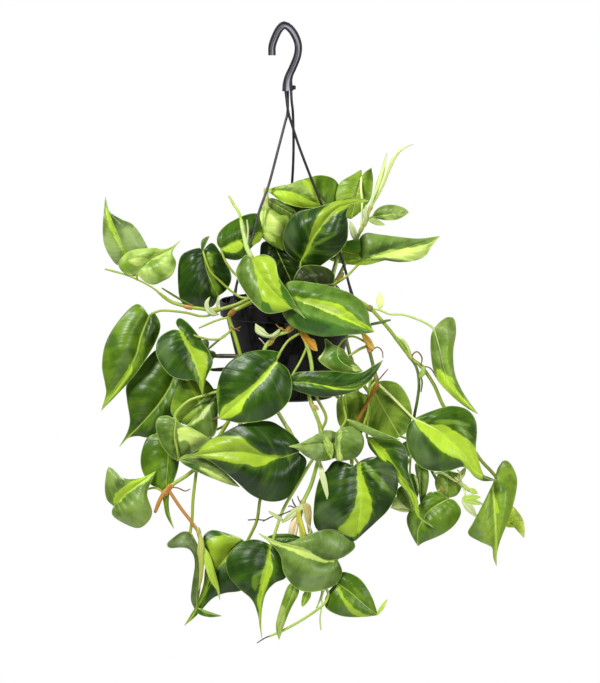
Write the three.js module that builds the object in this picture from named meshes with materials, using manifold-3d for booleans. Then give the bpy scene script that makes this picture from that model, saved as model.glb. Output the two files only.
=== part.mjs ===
import * as THREE from 'three';
import { mergeVertices } from 'three/addons/utils/BufferGeometryUtils.js';
import Module from 'manifold-3d';

const wasm = await Module();
wasm.setup();

// Heart-leaved philodendron with lime-splashed leaves in a hanging pot.
// Millimetres, +Z up, +Y away from the viewer. The origin is the top of the hook's inside, where it hangs.

// Driving dimensions of the pot
const RIM_RADIUS = 75;
const POT_HEIGHT = 104;
const WALL = 2;
const COLLAR_HEIGHT = 16;
const BODY_TOP_RADIUS = 68.5;
const BASE_RADIUS = 47.5;
const FLOOR_RISE = 3;
const RIM_DROP = 291;
const POT_SIDES = 36;
const DRAINS = 5;
const DRAIN_RADIUS = 4;
const DRAIN_CIRCLE = 25;
const GAP = 0.35;

// Driving dimensions of the hanger
const ROD_RADIUS = 1.4;
const HOOK_WIDTH = 8;
const HOOK_DEPTH = 7;
const HOOK_RIB = 1.7;
const HOOK_WEB = 2.4;
const COLLAR_RADIUS = 6.2;
const COLLAR_TOP = -59;
const COLLAR_BOTTOM = -66.5;
const CLIP_WIDTH = 8;
const CLIP_AZIMUTHS = { left: 217, right: -23, back: 97 };

// Driving dimensions of the plant
const SOIL_DROP = 13;
const SOIL_SIDES = 32;
const ROOT_DEPTH = 12;
const ROOT_CLEARANCE = 0.6;
const BLADE = 0.8;
const STALK_RADIUS = 1.3;
const STALK_REACH = 6;
const STALK_STEP = 14;
const HOOKED_STALK_STEP = 6;
const STEM_STEP = 15;
const THICK_STEM = 1.5;
const FLATTENING = 0.18;
const SCRAP = 1;

// The photographed view that places the plant: picture size of the rim, raised viewpoint, picture centre,
// hook seat and pot axis
const RIM_PIXELS = 140;
const VIEW_ELEVATION = THREE.MathUtils.degToRad(7.5);
const VIEW_DISTANCE = 6000;
const CENTRE_PIXEL = [300, 341.5];
const SEAT_PIXEL = [284, 28.5];
const POT_AXIS_PIXEL = [289.5, 299.5];
const PIXEL = 2 * RIM_RADIUS / RIM_PIXELS;

// Point on the sight line of picture point (u, v), at depth y from the viewer's side of the hook
function sightPoint(u, v, y) {
  const across = (u - CENTRE_PIXEL[0]) * PIXEL;
  const up = (CENTRE_PIXEL[1] - v) * PIXEL;
  const cos = Math.cos(VIEW_ELEVATION);
  const sin = Math.sin(VIEW_ELEVATION);
  const reach = (y + VIEW_DISTANCE * cos) / (VIEW_DISTANCE * cos + up * sin);
  return new THREE.Vector3(reach * across, y, VIEW_DISTANCE * sin * (1 - reach) + reach * up * cos);
}

const SEAT = sightPoint(...SEAT_PIXEL, 0);
const seen = (u, v, y) => sightPoint(u, v, y).sub(SEAT);
const POT_X = seen(...POT_AXIS_PIXEL, 0).x;
const RIM_TOP = -RIM_DROP;
const POT_BOTTOM = RIM_TOP - POT_HEIGHT;
const SOIL_TOP = RIM_TOP - SOIL_DROP;

// Closed geometry to a solid, and a solid back to geometry
function solid(geometry) {
  const bare = geometry.clone();
  for (const name of Object.keys(bare.attributes)) {
    if (name !== 'position') bare.deleteAttribute(name);
  }
  const merged = mergeVertices(bare, 1e-4);
  return new wasm.Manifold(new wasm.Mesh({
    numProp: 3,
    vertProperties: new Float32Array(merged.attributes.position.array),
    triVerts: new Uint32Array(merged.index.array),
  }));
}

function geometryOf(manifold) {
  const mesh = manifold.getMesh();
  const geometry = new THREE.BufferGeometry();
  geometry.setAttribute('position', new THREE.BufferAttribute(new Float32Array(mesh.vertProperties), 3));
  geometry.setIndex(new THREE.BufferAttribute(new Uint32Array(mesh.triVerts), 1));
  geometry.computeVertexNormals();
  return geometry;
}

const join = (geometries) => wasm.Manifold.union(geometries.map(solid));

// Round bar through the given points
function tube(points, radius, sides, stepLength = 7) {
  const path = new THREE.CatmullRomCurve3(points, false, 'catmullrom', 0.5);
  const steps = Math.max(2, Math.round(path.getLength() / stepLength));
  const corners = [];
  for (let i = 0; i < sides; i++) {
    const angle = 2 * Math.PI * i / sides;
    corners.push(new THREE.Vector2(radius * Math.cos(angle), radius * Math.sin(angle)));
  }
  const section = new THREE.Shape(corners);
  return new THREE.ExtrudeGeometry(section, { steps, bevelEnabled: false, extrudePath: path });
}

const group = new THREE.Group();

function add(name, geometry, colour, roughness, metalness = 0) {
  const material = new THREE.MeshStandardMaterial({ color: colour, roughness, metalness });
  const mesh = new THREE.Mesh(geometry, material);
  mesh.name = name;
  group.add(mesh);
}

// Pot: tapered thin wall, stepped collar, raised floor with drain holes
function potGeometry() {
  const inside = RIM_RADIUS - WALL;
  const shoulder = POT_HEIGHT - COLLAR_HEIGHT;
  const profile = [
    [0, FLOOR_RISE], [BASE_RADIUS - 9, FLOOR_RISE], [BASE_RADIUS - 7, 0], [BASE_RADIUS - 1.5, 0],
    [BASE_RADIUS, 1.5], [BODY_TOP_RADIUS, shoulder], [RIM_RADIUS - 0.8, shoulder],
    [RIM_RADIUS, POT_HEIGHT - 1], [RIM_RADIUS - 0.5, POT_HEIGHT], [inside, POT_HEIGHT],
    [inside - 0.4, shoulder + WALL + 1.2], [BODY_TOP_RADIUS - WALL, shoulder + WALL],
    [BASE_RADIUS - WALL, FLOOR_RISE + WALL], [0, FLOOR_RISE + WALL],
  ];
  const body = new THREE.LatheGeometry(profile.map(([r, z]) => new THREE.Vector2(r, z)), POT_SIDES);
  let pot = solid(body.rotateX(Math.PI / 2));
  for (let i = 0; i < DRAINS; i++) {
    const angle = 2 * Math.PI * i / DRAINS;
    const drill = new THREE.CylinderGeometry(DRAIN_RADIUS, DRAIN_RADIUS, 20, 8).rotateX(Math.PI / 2);
    drill.translate(DRAIN_CIRCLE * Math.cos(angle), DRAIN_CIRCLE * Math.sin(angle), 0);
    pot = pot.subtract(solid(drill));
  }
  return geometryOf(pot).translate(POT_X, 0, POT_BOTTOM);
}

// Soil: fills the pot to below the collar, with a plain hole for each stem
function soilGeometry(roots) {
  const floor = FLOOR_RISE + WALL + GAP;
  const top = POT_HEIGHT - SOIL_DROP;
  const side = BODY_TOP_RADIUS - WALL - GAP - 0.7;
  const profile = [
    [0, floor], [BASE_RADIUS - WALL - 1.2, floor],
    [side, top - 3.5], [side - 7, top - 1.4], [side * 0.6, top], [side * 0.3, top - 0.6], [0, top],
  ];
  const body = new THREE.LatheGeometry(profile.map(([r, z]) => new THREE.Vector2(r, z)), SOIL_SIDES);
  let soil = solid(body.rotateX(Math.PI / 2).translate(POT_X, 0, POT_BOTTOM));
  for (const { x, y, radius } of roots) {
    const length = ROOT_DEPTH + 8;
    const hole = radius + ROOT_CLEARANCE;
    const drill = new THREE.CylinderGeometry(hole, hole, length, 8).rotateX(Math.PI / 2);
    drill.translate(x, y, SOIL_TOP - ROOT_DEPTH - GAP + length / 2);
    soil = soil.subtract(solid(drill));
  }
  return geometryOf(soil);
}

// Hook: flat moulded strip with a raised rib along both edges, on a round collar with three sockets
const HOOK_LINE = [
  [272, 55.5], [272.4, 46], [275, 37.5], [279, 29.5], [283.5, 25.3], [288, 26.5], [293, 32],
  [297, 40], [298.4, 48], [297, 57], [293, 67], [289, 76], [287.6, 86],
];
const ROD_LINES = {
  left: [
    [288, 86, 1.5], [287.8, 100, 1.5], [287.5, 113, 1], [285, 123, -2], [278, 150, -10], [269, 184, -18],
    [261, 206, -24], [255, 226, -29], [251.5, 240, -32], [243, 264, -38], [237, 283, -42],
  ],
  right: [
    [285, 86, -2.8], [286.2, 96, -3.2], [288.5, 113, -4.4], [293, 128, -5.8], [300, 149, -8], [311, 178, -12],
    [319, 198, -15], [330, 227, -19], [341.7, 258, -23], [349.5, 286, -26.6],
  ],
  back: [
    [291, 86, 1.5], [291.6, 100, 1.8], [293, 115, 3.5], [293.5, 150, 18], [292, 184, 33], [288, 230, 52],
    [282.4, 276, 69],
  ],
};

function hookGeometry() {
  const path = new THREE.CatmullRomCurve3(HOOK_LINE.map(([u, v]) => seen(u, v, 0)), false, 'catmullrom', 0.5);
  const half = HOOK_WIDTH / 2;
  const deep = HOOK_DEPTH / 2;
  const web = HOOK_WEB / 2;
  const edge = half - HOOK_RIB;
  const section = new THREE.Shape([
    [-deep, -half], [deep, -half], [deep, -edge], [web, -edge], [web, edge], [deep, edge],
    [deep, half], [-deep, half], [-deep, edge], [-web, edge], [-web, -edge], [-deep, -edge],
  ].map(([x, y]) => new THREE.Vector2(x, y)));
  const strip = new THREE.ExtrudeGeometry(section, { steps: 20, bevelEnabled: false, extrudePath: path });
  const centre = seen(287.6, 86, 0);
  const hub = new THREE.LatheGeometry([
    [0, COLLAR_BOTTOM], [COLLAR_RADIUS - 0.6, COLLAR_BOTTOM], [COLLAR_RADIUS, COLLAR_BOTTOM + 1],
    [COLLAR_RADIUS, COLLAR_TOP - 2.5], [COLLAR_RADIUS - 2, COLLAR_TOP], [0, COLLAR_TOP],
  ].map(([r, z]) => new THREE.Vector2(r, z)), 20).rotateX(Math.PI / 2).translate(centre.x, 0, 0);
  const nub = new THREE.BoxGeometry(3.4, 3, 3);
  nub.translate(centre.x + COLLAR_RADIUS + 0.9, 0, COLLAR_BOTTOM + 4);
  let hook = join([strip, hub, nub]);
  for (const line of Object.values(ROD_LINES)) {
    const socket = tube(line.slice(0, 2).map((p) => seen(...p)), ROD_RADIUS + GAP, 8);
    hook = hook.subtract(solid(socket));
  }
  return geometryOf(hook);
}

// Rod with the clip that straddles the rim at its lower end
function rodGeometry(side) {
  const azimuth = THREE.MathUtils.degToRad(CLIP_AZIMUTHS[side]);
  const gapIn = RIM_RADIUS - WALL - 0.9;
  const gapOut = RIM_RADIUS + 0.4;
  const leg = 2.2;
  const clip = new THREE.Shape([
    [gapIn - leg, -9], [gapIn, -9], [gapIn, GAP], [gapOut, GAP], [gapOut, -8], [gapOut + leg, -8],
    [gapOut + leg, 2.6], [gapIn + 3, 5.5], [gapIn + 1, 5.5], [gapIn - leg, 2.6],
  ].map(([r, z]) => new THREE.Vector2(r, z)));
  const block = new THREE.ExtrudeGeometry(clip, { depth: CLIP_WIDTH, bevelEnabled: false });
  block.translate(0, 0, -CLIP_WIDTH / 2).rotateX(Math.PI / 2).rotateZ(azimuth).translate(POT_X, 0, RIM_TOP);
  const seatRadius = gapIn + 2;
  const foot = new THREE.Vector3(
    POT_X + seatRadius * Math.cos(azimuth), seatRadius * Math.sin(azimuth), RIM_TOP + 3);
  const line = ROD_LINES[side].map((p) => seen(...p));
  line[0].z -= GAP;
  return geometryOf(join([tube([...line, foot], ROD_RADIUS, 5, 16), block]));
}

// Heart outline of one half in leaf shares: along from base to tip, and across in half widths
const HEART_HALF = [
  [-0.1, 0.3], [-0.13, 0.66], [0.02, 0.95], [0.25, 1], [0.5, 0.78], [0.72, 0.42], [0.88, 0.14],
];
const SPINDLE_HALF = [[0.12, 0.6], [0.45, 1], [0.8, 0.6]];

// Both half outlines of a blade in the picture: given point by point, or as a plain heart or spindle
function outlines(leaf) {
  if (leaf.left) return [leaf.left, leaf.right];
  const base = new THREE.Vector2(leaf.base[0], leaf.base[1]);
  const axis = new THREE.Vector2(leaf.tip[0], leaf.tip[1]).sub(base);
  const across = new THREE.Vector2(-axis.y, axis.x).normalize();
  const half = leaf.heart ? HEART_HALF : SPINDLE_HALF;
  const width = leaf.heart ?? leaf.spindle;
  return [1, -1].map((sign) => half.map(([a, w]) => [
    base.x + a * axis.x + sign * w * width * across.x,
    base.y + a * axis.y + sign * w * width * across.y,
  ]));
}

const picturePath = (points) => new THREE.SplineCurve(points.map(([u, v]) => new THREE.Vector2(u, v)));
const RIB_CROWDING = 1.5;
const ROW_PIXELS = 15.5;

// Middle sheet of a blade: each row has a point on the rib and one on the edge of either half.
// Depth runs straight from base to tip, and each half leans from the rib out.
function bladeSheet(leaf) {
  const { base, tip, rib = [], lean = [0, 0] } = leaf;
  const ribPath = picturePath([base, ...rib, tip]);
  const start = new THREE.Vector2(base[0], base[1]);
  const axis = new THREE.Vector2(tip[0], tip[1]).sub(start);
  const halves = outlines(leaf).map((edge) => picturePath([base, ...edge, tip]));
  const longest = Math.max(...halves.map((edge) => edge.getLength()));
  const rows = THREE.MathUtils.clamp(Math.round(longest / ROW_PIXELS), 3, leaf.heart ? 5 : 8);
  const place = (flat, offset) => {
    const along = flat.clone().sub(start).dot(axis) / axis.lengthSq();
    return seen(flat.x, flat.y, base[2] + (tip[2] - base[2]) * along + offset);
  };
  const points = [seen(...base)];
  for (let row = 1; row < rows; row++) {
    const share = row / rows;
    const ribPoint = ribPath.getPointAt(share ** RIB_CROWDING);
    points.push(place(ribPoint, 0));
    halves.forEach((edge, side) => {
      const edgePoint = edge.getPointAt(share);
      points.push(place(edgePoint, lean[side] * ribPoint.distanceTo(edgePoint)));
    });
  }
  points.push(seen(...tip));
  return points;
}

// Thin closed blade: the same triangles on both faces, joined by a rim
function bladeGeometry(leaf) {
  const sheet = bladeSheet(leaf);
  const last = sheet.length - 1;
  const rows = (last + 2) / 3;
  const ribAt = (row) => (row === 0 ? 0 : Math.min(3 * row - 2, last));
  const edgeAt = (row, side) => (row === 0 || row === rows ? ribAt(row) : 3 * row - 1 + side);
  const faces = [];
  const face = (a, b, c) => {
    if (a !== b && b !== c && a !== c) faces.push([a, b, c]);
  };
  for (let row = 0; row < rows; row++) {
    face(ribAt(row), edgeAt(row, 0), edgeAt(row + 1, 0));
    face(ribAt(row), edgeAt(row + 1, 0), ribAt(row + 1));
    face(ribAt(row), edgeAt(row + 1, 1), edgeAt(row, 1));
    face(ribAt(row), ribAt(row + 1), edgeAt(row + 1, 1));
  }
  const normals = sheet.map(() => new THREE.Vector3());
  for (const [a, b, c] of faces) {
    const normal = sheet[b].clone().sub(sheet[a]).cross(sheet[c].clone().sub(sheet[a]));
    for (const i of [a, b, c]) normals[i].add(normal);
  }
  const count = sheet.length;
  const positions = [];
  for (const sign of [0.5, -0.5]) {
    sheet.forEach((p, i) => {
      const q = p.clone().addScaledVector(normals[i].normalize(), sign * BLADE);
      positions.push(q.x, q.y, q.z);
    });
  }
  const index = [];
  for (const [a, b, c] of faces) index.push(a, b, c, a + count, c + count, b + count);
  const border = [0];
  for (let row = 1; row <= rows; row++) border.push(edgeAt(row, 0));
  for (let row = rows - 1; row >= 1; row--) border.push(edgeAt(row, 1));
  border.forEach((a, i) => {
    const b = border[(i + 1) % border.length];
    index.push(b, a, a + count, b, a + count, b + count);
  });
  const geometry = new THREE.BufferGeometry();
  geometry.setAttribute('position', new THREE.Float32BufferAttribute(positions, 3));
  geometry.setIndex(signedVolume(positions, index) < 0 ? index.reverse() : index);
  return geometry;
}

// Six times the volume that the triangles enclose, negative where they face inward
function signedVolume(positions, index) {
  const corner = (i) => new THREE.Vector3().fromArray(positions, 3 * i);
  let sum = 0;
  for (let i = 0; i < index.length; i += 3) {
    sum += corner(index[i]).dot(corner(index[i + 1]).cross(corner(index[i + 2])));
  }
  return sum;
}

// Stalk of a leaf, from its stem to a little way along the rib, in closer steps where it hooks over
function stalkGeometry(leaf) {
  const [base, rib] = bladeSheet(leaf);
  const end = base.clone().lerp(rib, Math.min(0.6, STALK_REACH / base.distanceTo(rib)));
  const points = leaf.stalk.map((p) => seen(...p));
  const arriving = base.clone().sub(points[points.length - 1]).normalize();
  const hooked = arriving.dot(end.clone().sub(base).normalize()) < 0.4;
  return tube([...points, base, end], leaf.stalkRadius ?? STALK_RADIUS, 3, hooked ? HOOKED_STALK_STEP : STALK_STEP);
}

const roots = [];

// One leafy stem: bars, leaves with their stalks, and sheaths, grown together without scraps
function leafyStem(name, { root, bars, leaves }) {
  const parts = [];
  bars.forEach(({ line, radius }, i) => {
    const points = line.map((p) => seen(...p));
    if (i === 0) {
      const foot = { x: POT_X + root[0], y: root[1], radius };
      roots.push(foot);
      const heights = [SOIL_TOP - ROOT_DEPTH, SOIL_TOP - ROOT_DEPTH / 2, SOIL_TOP + 1, SOIL_TOP + 6];
      points.unshift(...heights.map((z) => new THREE.Vector3(foot.x, foot.y, z)));
    }
    parts.push(tube(points, radius, radius < THICK_STEM ? 3 : 4, STEM_STEP));
  });
  for (const leaf of leaves) {
    parts.push(bladeGeometry(leaf));
    if (leaf.stalk) parts.push(stalkGeometry(leaf));
  }
  const pieces = join(parts).simplify(FLATTENING).decompose().filter((piece) => piece.volume() > SCRAP);
  add(name, geometryOf(wasm.Manifold.compose(pieces)), 0x4f7f2a, 0.45);
}

// Every list below holds picture points [u, v] or [u, v, depth in millimetres]

leafyStem('stem_left', {
  root: [-29, -20],
  bars: [
    { radius: 2, line: [
      [262, 300, -32], [256, 296, -50], [250, 298, -63], [235, 305, -66], [215, 310, -62], [200, 308.5, -60],
      [190, 307, -58], [172, 302, -54], [158, 292, -51.5]] },
    { radius: 1.1, line: [[163, 296, -52], [150, 286, -50], [128, 275.5, -46], [105, 269, -42]] },
    { radius: 1.2, line: [[194, 306.5, -59], [178, 298, -61], [162, 288, -62]] },
    { radius: 2.9, line: [[192, 307.5, -58.5], [184, 306, -57]] },
  ],
  leaves: [
    { base: [127, 255, -34], tip: [105.5, 197, -22], rib: [[118, 235], [110, 215]],
      left: [[119, 265], [111, 258], [104, 243], [103, 221]],
      right: [[140, 262], [149, 254], [142, 237], [132, 224], [121, 219], [109, 211]],
      lean: [0.15, 0.05], stalk: [[131, 277, -46.5], [129, 266, -40]] },
    { base: [142, 266, -50], tip: [180, 241, -48], rib: [[154, 257], [167, 251]],
      left: [[140, 274], [130, 276], [121, 270], [119, 262], [130, 251], [152, 248], [167, 249]],
      right: [[137, 272], [143, 280], [153, 284.5], [163, 281], [172, 275], [176, 263], [172, 252]],
      lean: [0.1, -0.1], stalk: [[137, 280, -48], [137, 273, -50]] },
    { base: [149, 316, -55], tip: [101, 411, -52], rib: [[141, 336], [136, 355], [125, 376], [110, 398]],
      left: [[137, 304], [120, 319], [106, 342], [102, 365], [105, 383], [106, 394]],
      right: [[153, 312], [159, 320], [160, 330], [153, 347], [140, 368], [126, 385]],
      lean: [-0.08, 0.04],
      stalk: [[216, 310, -62], [210, 315, -61], [200, 316, -59], [185, 312.5, -58], [165, 310.5, -56],
        [156, 312, -56]] },
    { base: [203, 251, -48], tip: [218, 296, -46], rib: [[206, 268], [212, 284]],
      left: [[198, 248], [181, 256], [178, 280], [182, 303], [200, 308], [213, 306]],
      right: [[212, 243], [220, 252], [230, 271], [231, 281], [226, 290]],
      lean: [0.12, 0.3],
      stalk: [[248, 298, -63], [240, 297, -60], [230, 290, -57], [220, 281, -55], [211, 272, -54],
        [206, 261, -53]] },
    { base: [202, 253, -47], tip: [209.5, 236, -46], left: [[201, 243], [204, 238]],
      right: [[205, 244], [207, 240]] },
    { base: [214, 310, -63], tip: [205, 290, -58], left: [[205, 308], [199, 301], [200, 295]],
      right: [[208, 306], [203, 301], [204, 295]] },
    { base: [217, 309, -62], tip: [218.5, 296, -60], spindle: 1.6 },
  ],
});

leafyStem('stem_left_front', {
  root: [-20, -36],
  bars: [
    { radius: 2.1, line: [
      [266, 306, -48], [258, 301, -61], [250, 303, -72], [240, 307.5, -77], [232, 311.5, -76], [229, 317, -74],
      [231, 325, -72], [234, 333, -72], [240, 353, -74], [247, 375, -78], [243, 400, -77], [233, 414, -72],
      [222, 432, -66], [208, 455, -60], [197, 467, -58], [186, 476, -57], [168, 488, -57], [160, 500, -57],
      [155, 512, -56]] },
    { radius: 1.1, line: [[229, 317, -74], [215, 321, -73], [199, 328, -71]] },
    { radius: 1.7, line: [[197, 466, -58], [195, 482, -57], [193, 500, -57], [192, 520, -57], [190, 534, -57]] },
    { radius: 1.8, line: [[168, 489, -57], [180, 507, -58], [190, 520, -59], [200, 534, -60]] },
    { radius: 2.1, line: [[198, 528, -60], [201, 545, -60], [204, 560, -60]] },
    { radius: 2.8, line: [[172, 485, -57], [162, 497, -57]] },
    { radius: 3, line: [[235, 309.5, -76.5], [229, 316, -74.5]] },
  ],
  leaves: [
    { base: [181, 331, -79], tip: [203, 397, -80], rib: [[190, 350], [200, 376]],
      left: [[172, 330], [160, 337], [156, 347], [158, 359], [170, 375], [185, 380], [196, 381]],
      right: [[176, 323], [180, 318], [190, 325], [203, 342], [212, 358], [212, 366], [206, 379]],
      lean: [0.05, 0.2],
      stalk: [[232, 329, -72], [222, 338, -78], [212, 339.5, -81], [199, 337, -82]] },
    { base: [175, 372, -43], tip: [119, 447, -34], rib: [[170, 386], [158, 405], [140, 425], [129, 436]],
      left: [[168, 354], [156, 350], [141, 366], [127, 384], [127, 400], [130, 420], [127, 433]],
      right: [[186, 385], [180, 407], [166, 425], [150, 437], [138, 436], [128, 438]],
      lean: [0.04, 0.1],
      stalk: [[245, 368, -77], [236, 368, -70], [224, 369, -60], [212, 369.5, -52], [190, 371, -45]] },
    { base: [214, 390, -61], tip: [177, 421, -61],
      left: [[206, 380], [192, 375], [180, 383], [173, 398], [171, 411]],
      right: [[217, 400], [209, 413], [200, 421], [188, 425]],
      lean: [0.1, 0.1], stalk: [[243, 394, -77.5], [230, 390, -68]] },
    { base: [176, 420, -69], tip: [178, 461, -67], rib: [[177, 440]],
      left: [[168, 416], [158, 418], [156, 428], [161, 444], [170, 456]],
      right: [[184, 426], [193, 428], [203, 432], [212, 438], [203, 447], [190, 454]],
      lean: [0.1, 0.15],
      stalk: [[243, 399, -77], [228, 391, -76], [216, 392, -75], [202, 396, -75], [190, 400, -74],
        [180, 408, -72], [175, 415, -70]] },
    { base: [168, 440, -50], tip: [174, 529, -52], rib: [[168, 460], [166, 488], [167, 508]],
      left: [[158, 434], [147, 438], [141, 455], [142, 470], [150, 484], [160, 489], [163, 500], [166, 515]],
      right: [[176, 444], [179, 458], [177, 472], [172, 486], [169, 496], [169, 511]],
      lean: [0.1, 0.1], stalk: [[231, 417, -71], [222, 427, -60], [205, 433, -56], [185, 435, -52]] },
    { base: [179, 459, -73], tip: [240, 487, -74], rib: [[205, 468]],
      left: [[185, 465], [205, 475], [225, 483]], right: [[190, 454], [210, 461], [226, 473]],
      lean: [0.3, -0.3], stalk: [[176, 421, -70], [174.5, 436, -74], [177, 449, -75]], stalkRadius: 1.1 },
    { base: [114, 506, -60], tip: [156, 471, -60], rib: [[130, 491]],
      left: [[107, 499], [105, 485], [109, 467], [121, 477], [132, 479], [144, 477]],
      right: [[112, 514], [120, 521], [137, 528], [147, 523], [152, 512], [147, 495], [151, 482]],
      lean: [0.1, -0.05], stalk: [[165, 493, -57], [155, 488, -56], [143, 491, -56], [128, 499, -56]] },
    { base: [190, 532, -57], tip: [196, 611, -55], rib: [[196, 550], [197, 580]],
      left: [[182, 532], [173, 538], [167, 544], [170, 548], [184, 547], [192, 552], [195, 564], [192, 585],
        [191, 600]],
      right: [[193, 536], [199, 550], [201, 570], [200, 590]],
      lean: [0.25, 0.4] },
    { base: [200, 532, -61], tip: [198, 592, -62], rib: [[201, 560]],
      left: [[197.5, 550], [199, 575]], right: [[204, 545], [203, 575]], lean: [0.3, 0.3] },
    { base: [203, 545, -61], tip: [220, 601, -60], rib: [[208, 563], [215, 584]],
      left: [[204, 562], [210, 580], [218, 592]], right: [[210, 556], [215, 572], [219, 588]] },
    { base: [196, 607, -55], tip: [222, 616, -52], left: [[199, 614], [209, 617]],
      right: [[203, 611], [212, 614]] },
  ],
});

leafyStem('stem_centre_left', {
  root: [-3, -40],
  bars: [
    { radius: 2.1, line: [
      [287, 303, -54], [288, 301, -66], [290, 305, -79], [293, 315, -83], [293, 327, -84], [285, 332, -85],
      [275, 336, -85], [265, 348, -85], [262, 365, -85], [266, 385, -85], [272, 402, -85], [279, 414, -84],
      [285, 424, -83], [291, 434, -82], [296, 442, -82]] },
    { radius: 3, line: [[293.5, 324, -84], [287, 331, -85]] },
    { radius: 1.7, line: [
      [288, 429, -82.5], [282, 445, -77], [270, 470, -70], [263, 488, -66], [260, 500, -64], [257, 520, -58],
      [251, 534, -53], [246, 543, -50]] },
  ],
  leaves: [
    { base: [283, 334, -87], tip: [256, 325, -88], left: [[276, 338], [266, 336]],
      right: [[274, 329], [264, 326]] },
    { base: [298, 452, -86], tip: [178, 459.5, -82], rib: [[275, 458], [240, 452], [205, 454]],
      left: [[306, 459], [305, 469], [297, 484], [287, 498], [270, 501.5], [252, 495], [236, 481], [215, 464],
        [200, 457]],
      right: [[300, 444], [294, 436], [283, 428], [268, 421], [242, 424], [225, 432], [210, 440], [195, 451]],
      lean: [0.12, 0.12], stalk: [[288, 430, -82.5], [293, 438, -82], [297, 446, -83]] },
    { base: [246, 543, -50], tip: [184, 626, -46], rib: [[224, 560], [210, 585], [200, 605]],
      left: [[252, 553], [255, 570], [250, 585], [240, 591], [225, 593], [213, 598], [204, 607], [195, 617]],
      right: [[240, 538], [226, 533], [213, 530], [205, 534], [203, 541], [206, 553], [205, 570], [203, 586],
        [196, 605]],
      lean: [0.05, 0.1] },
  ],
});

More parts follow.
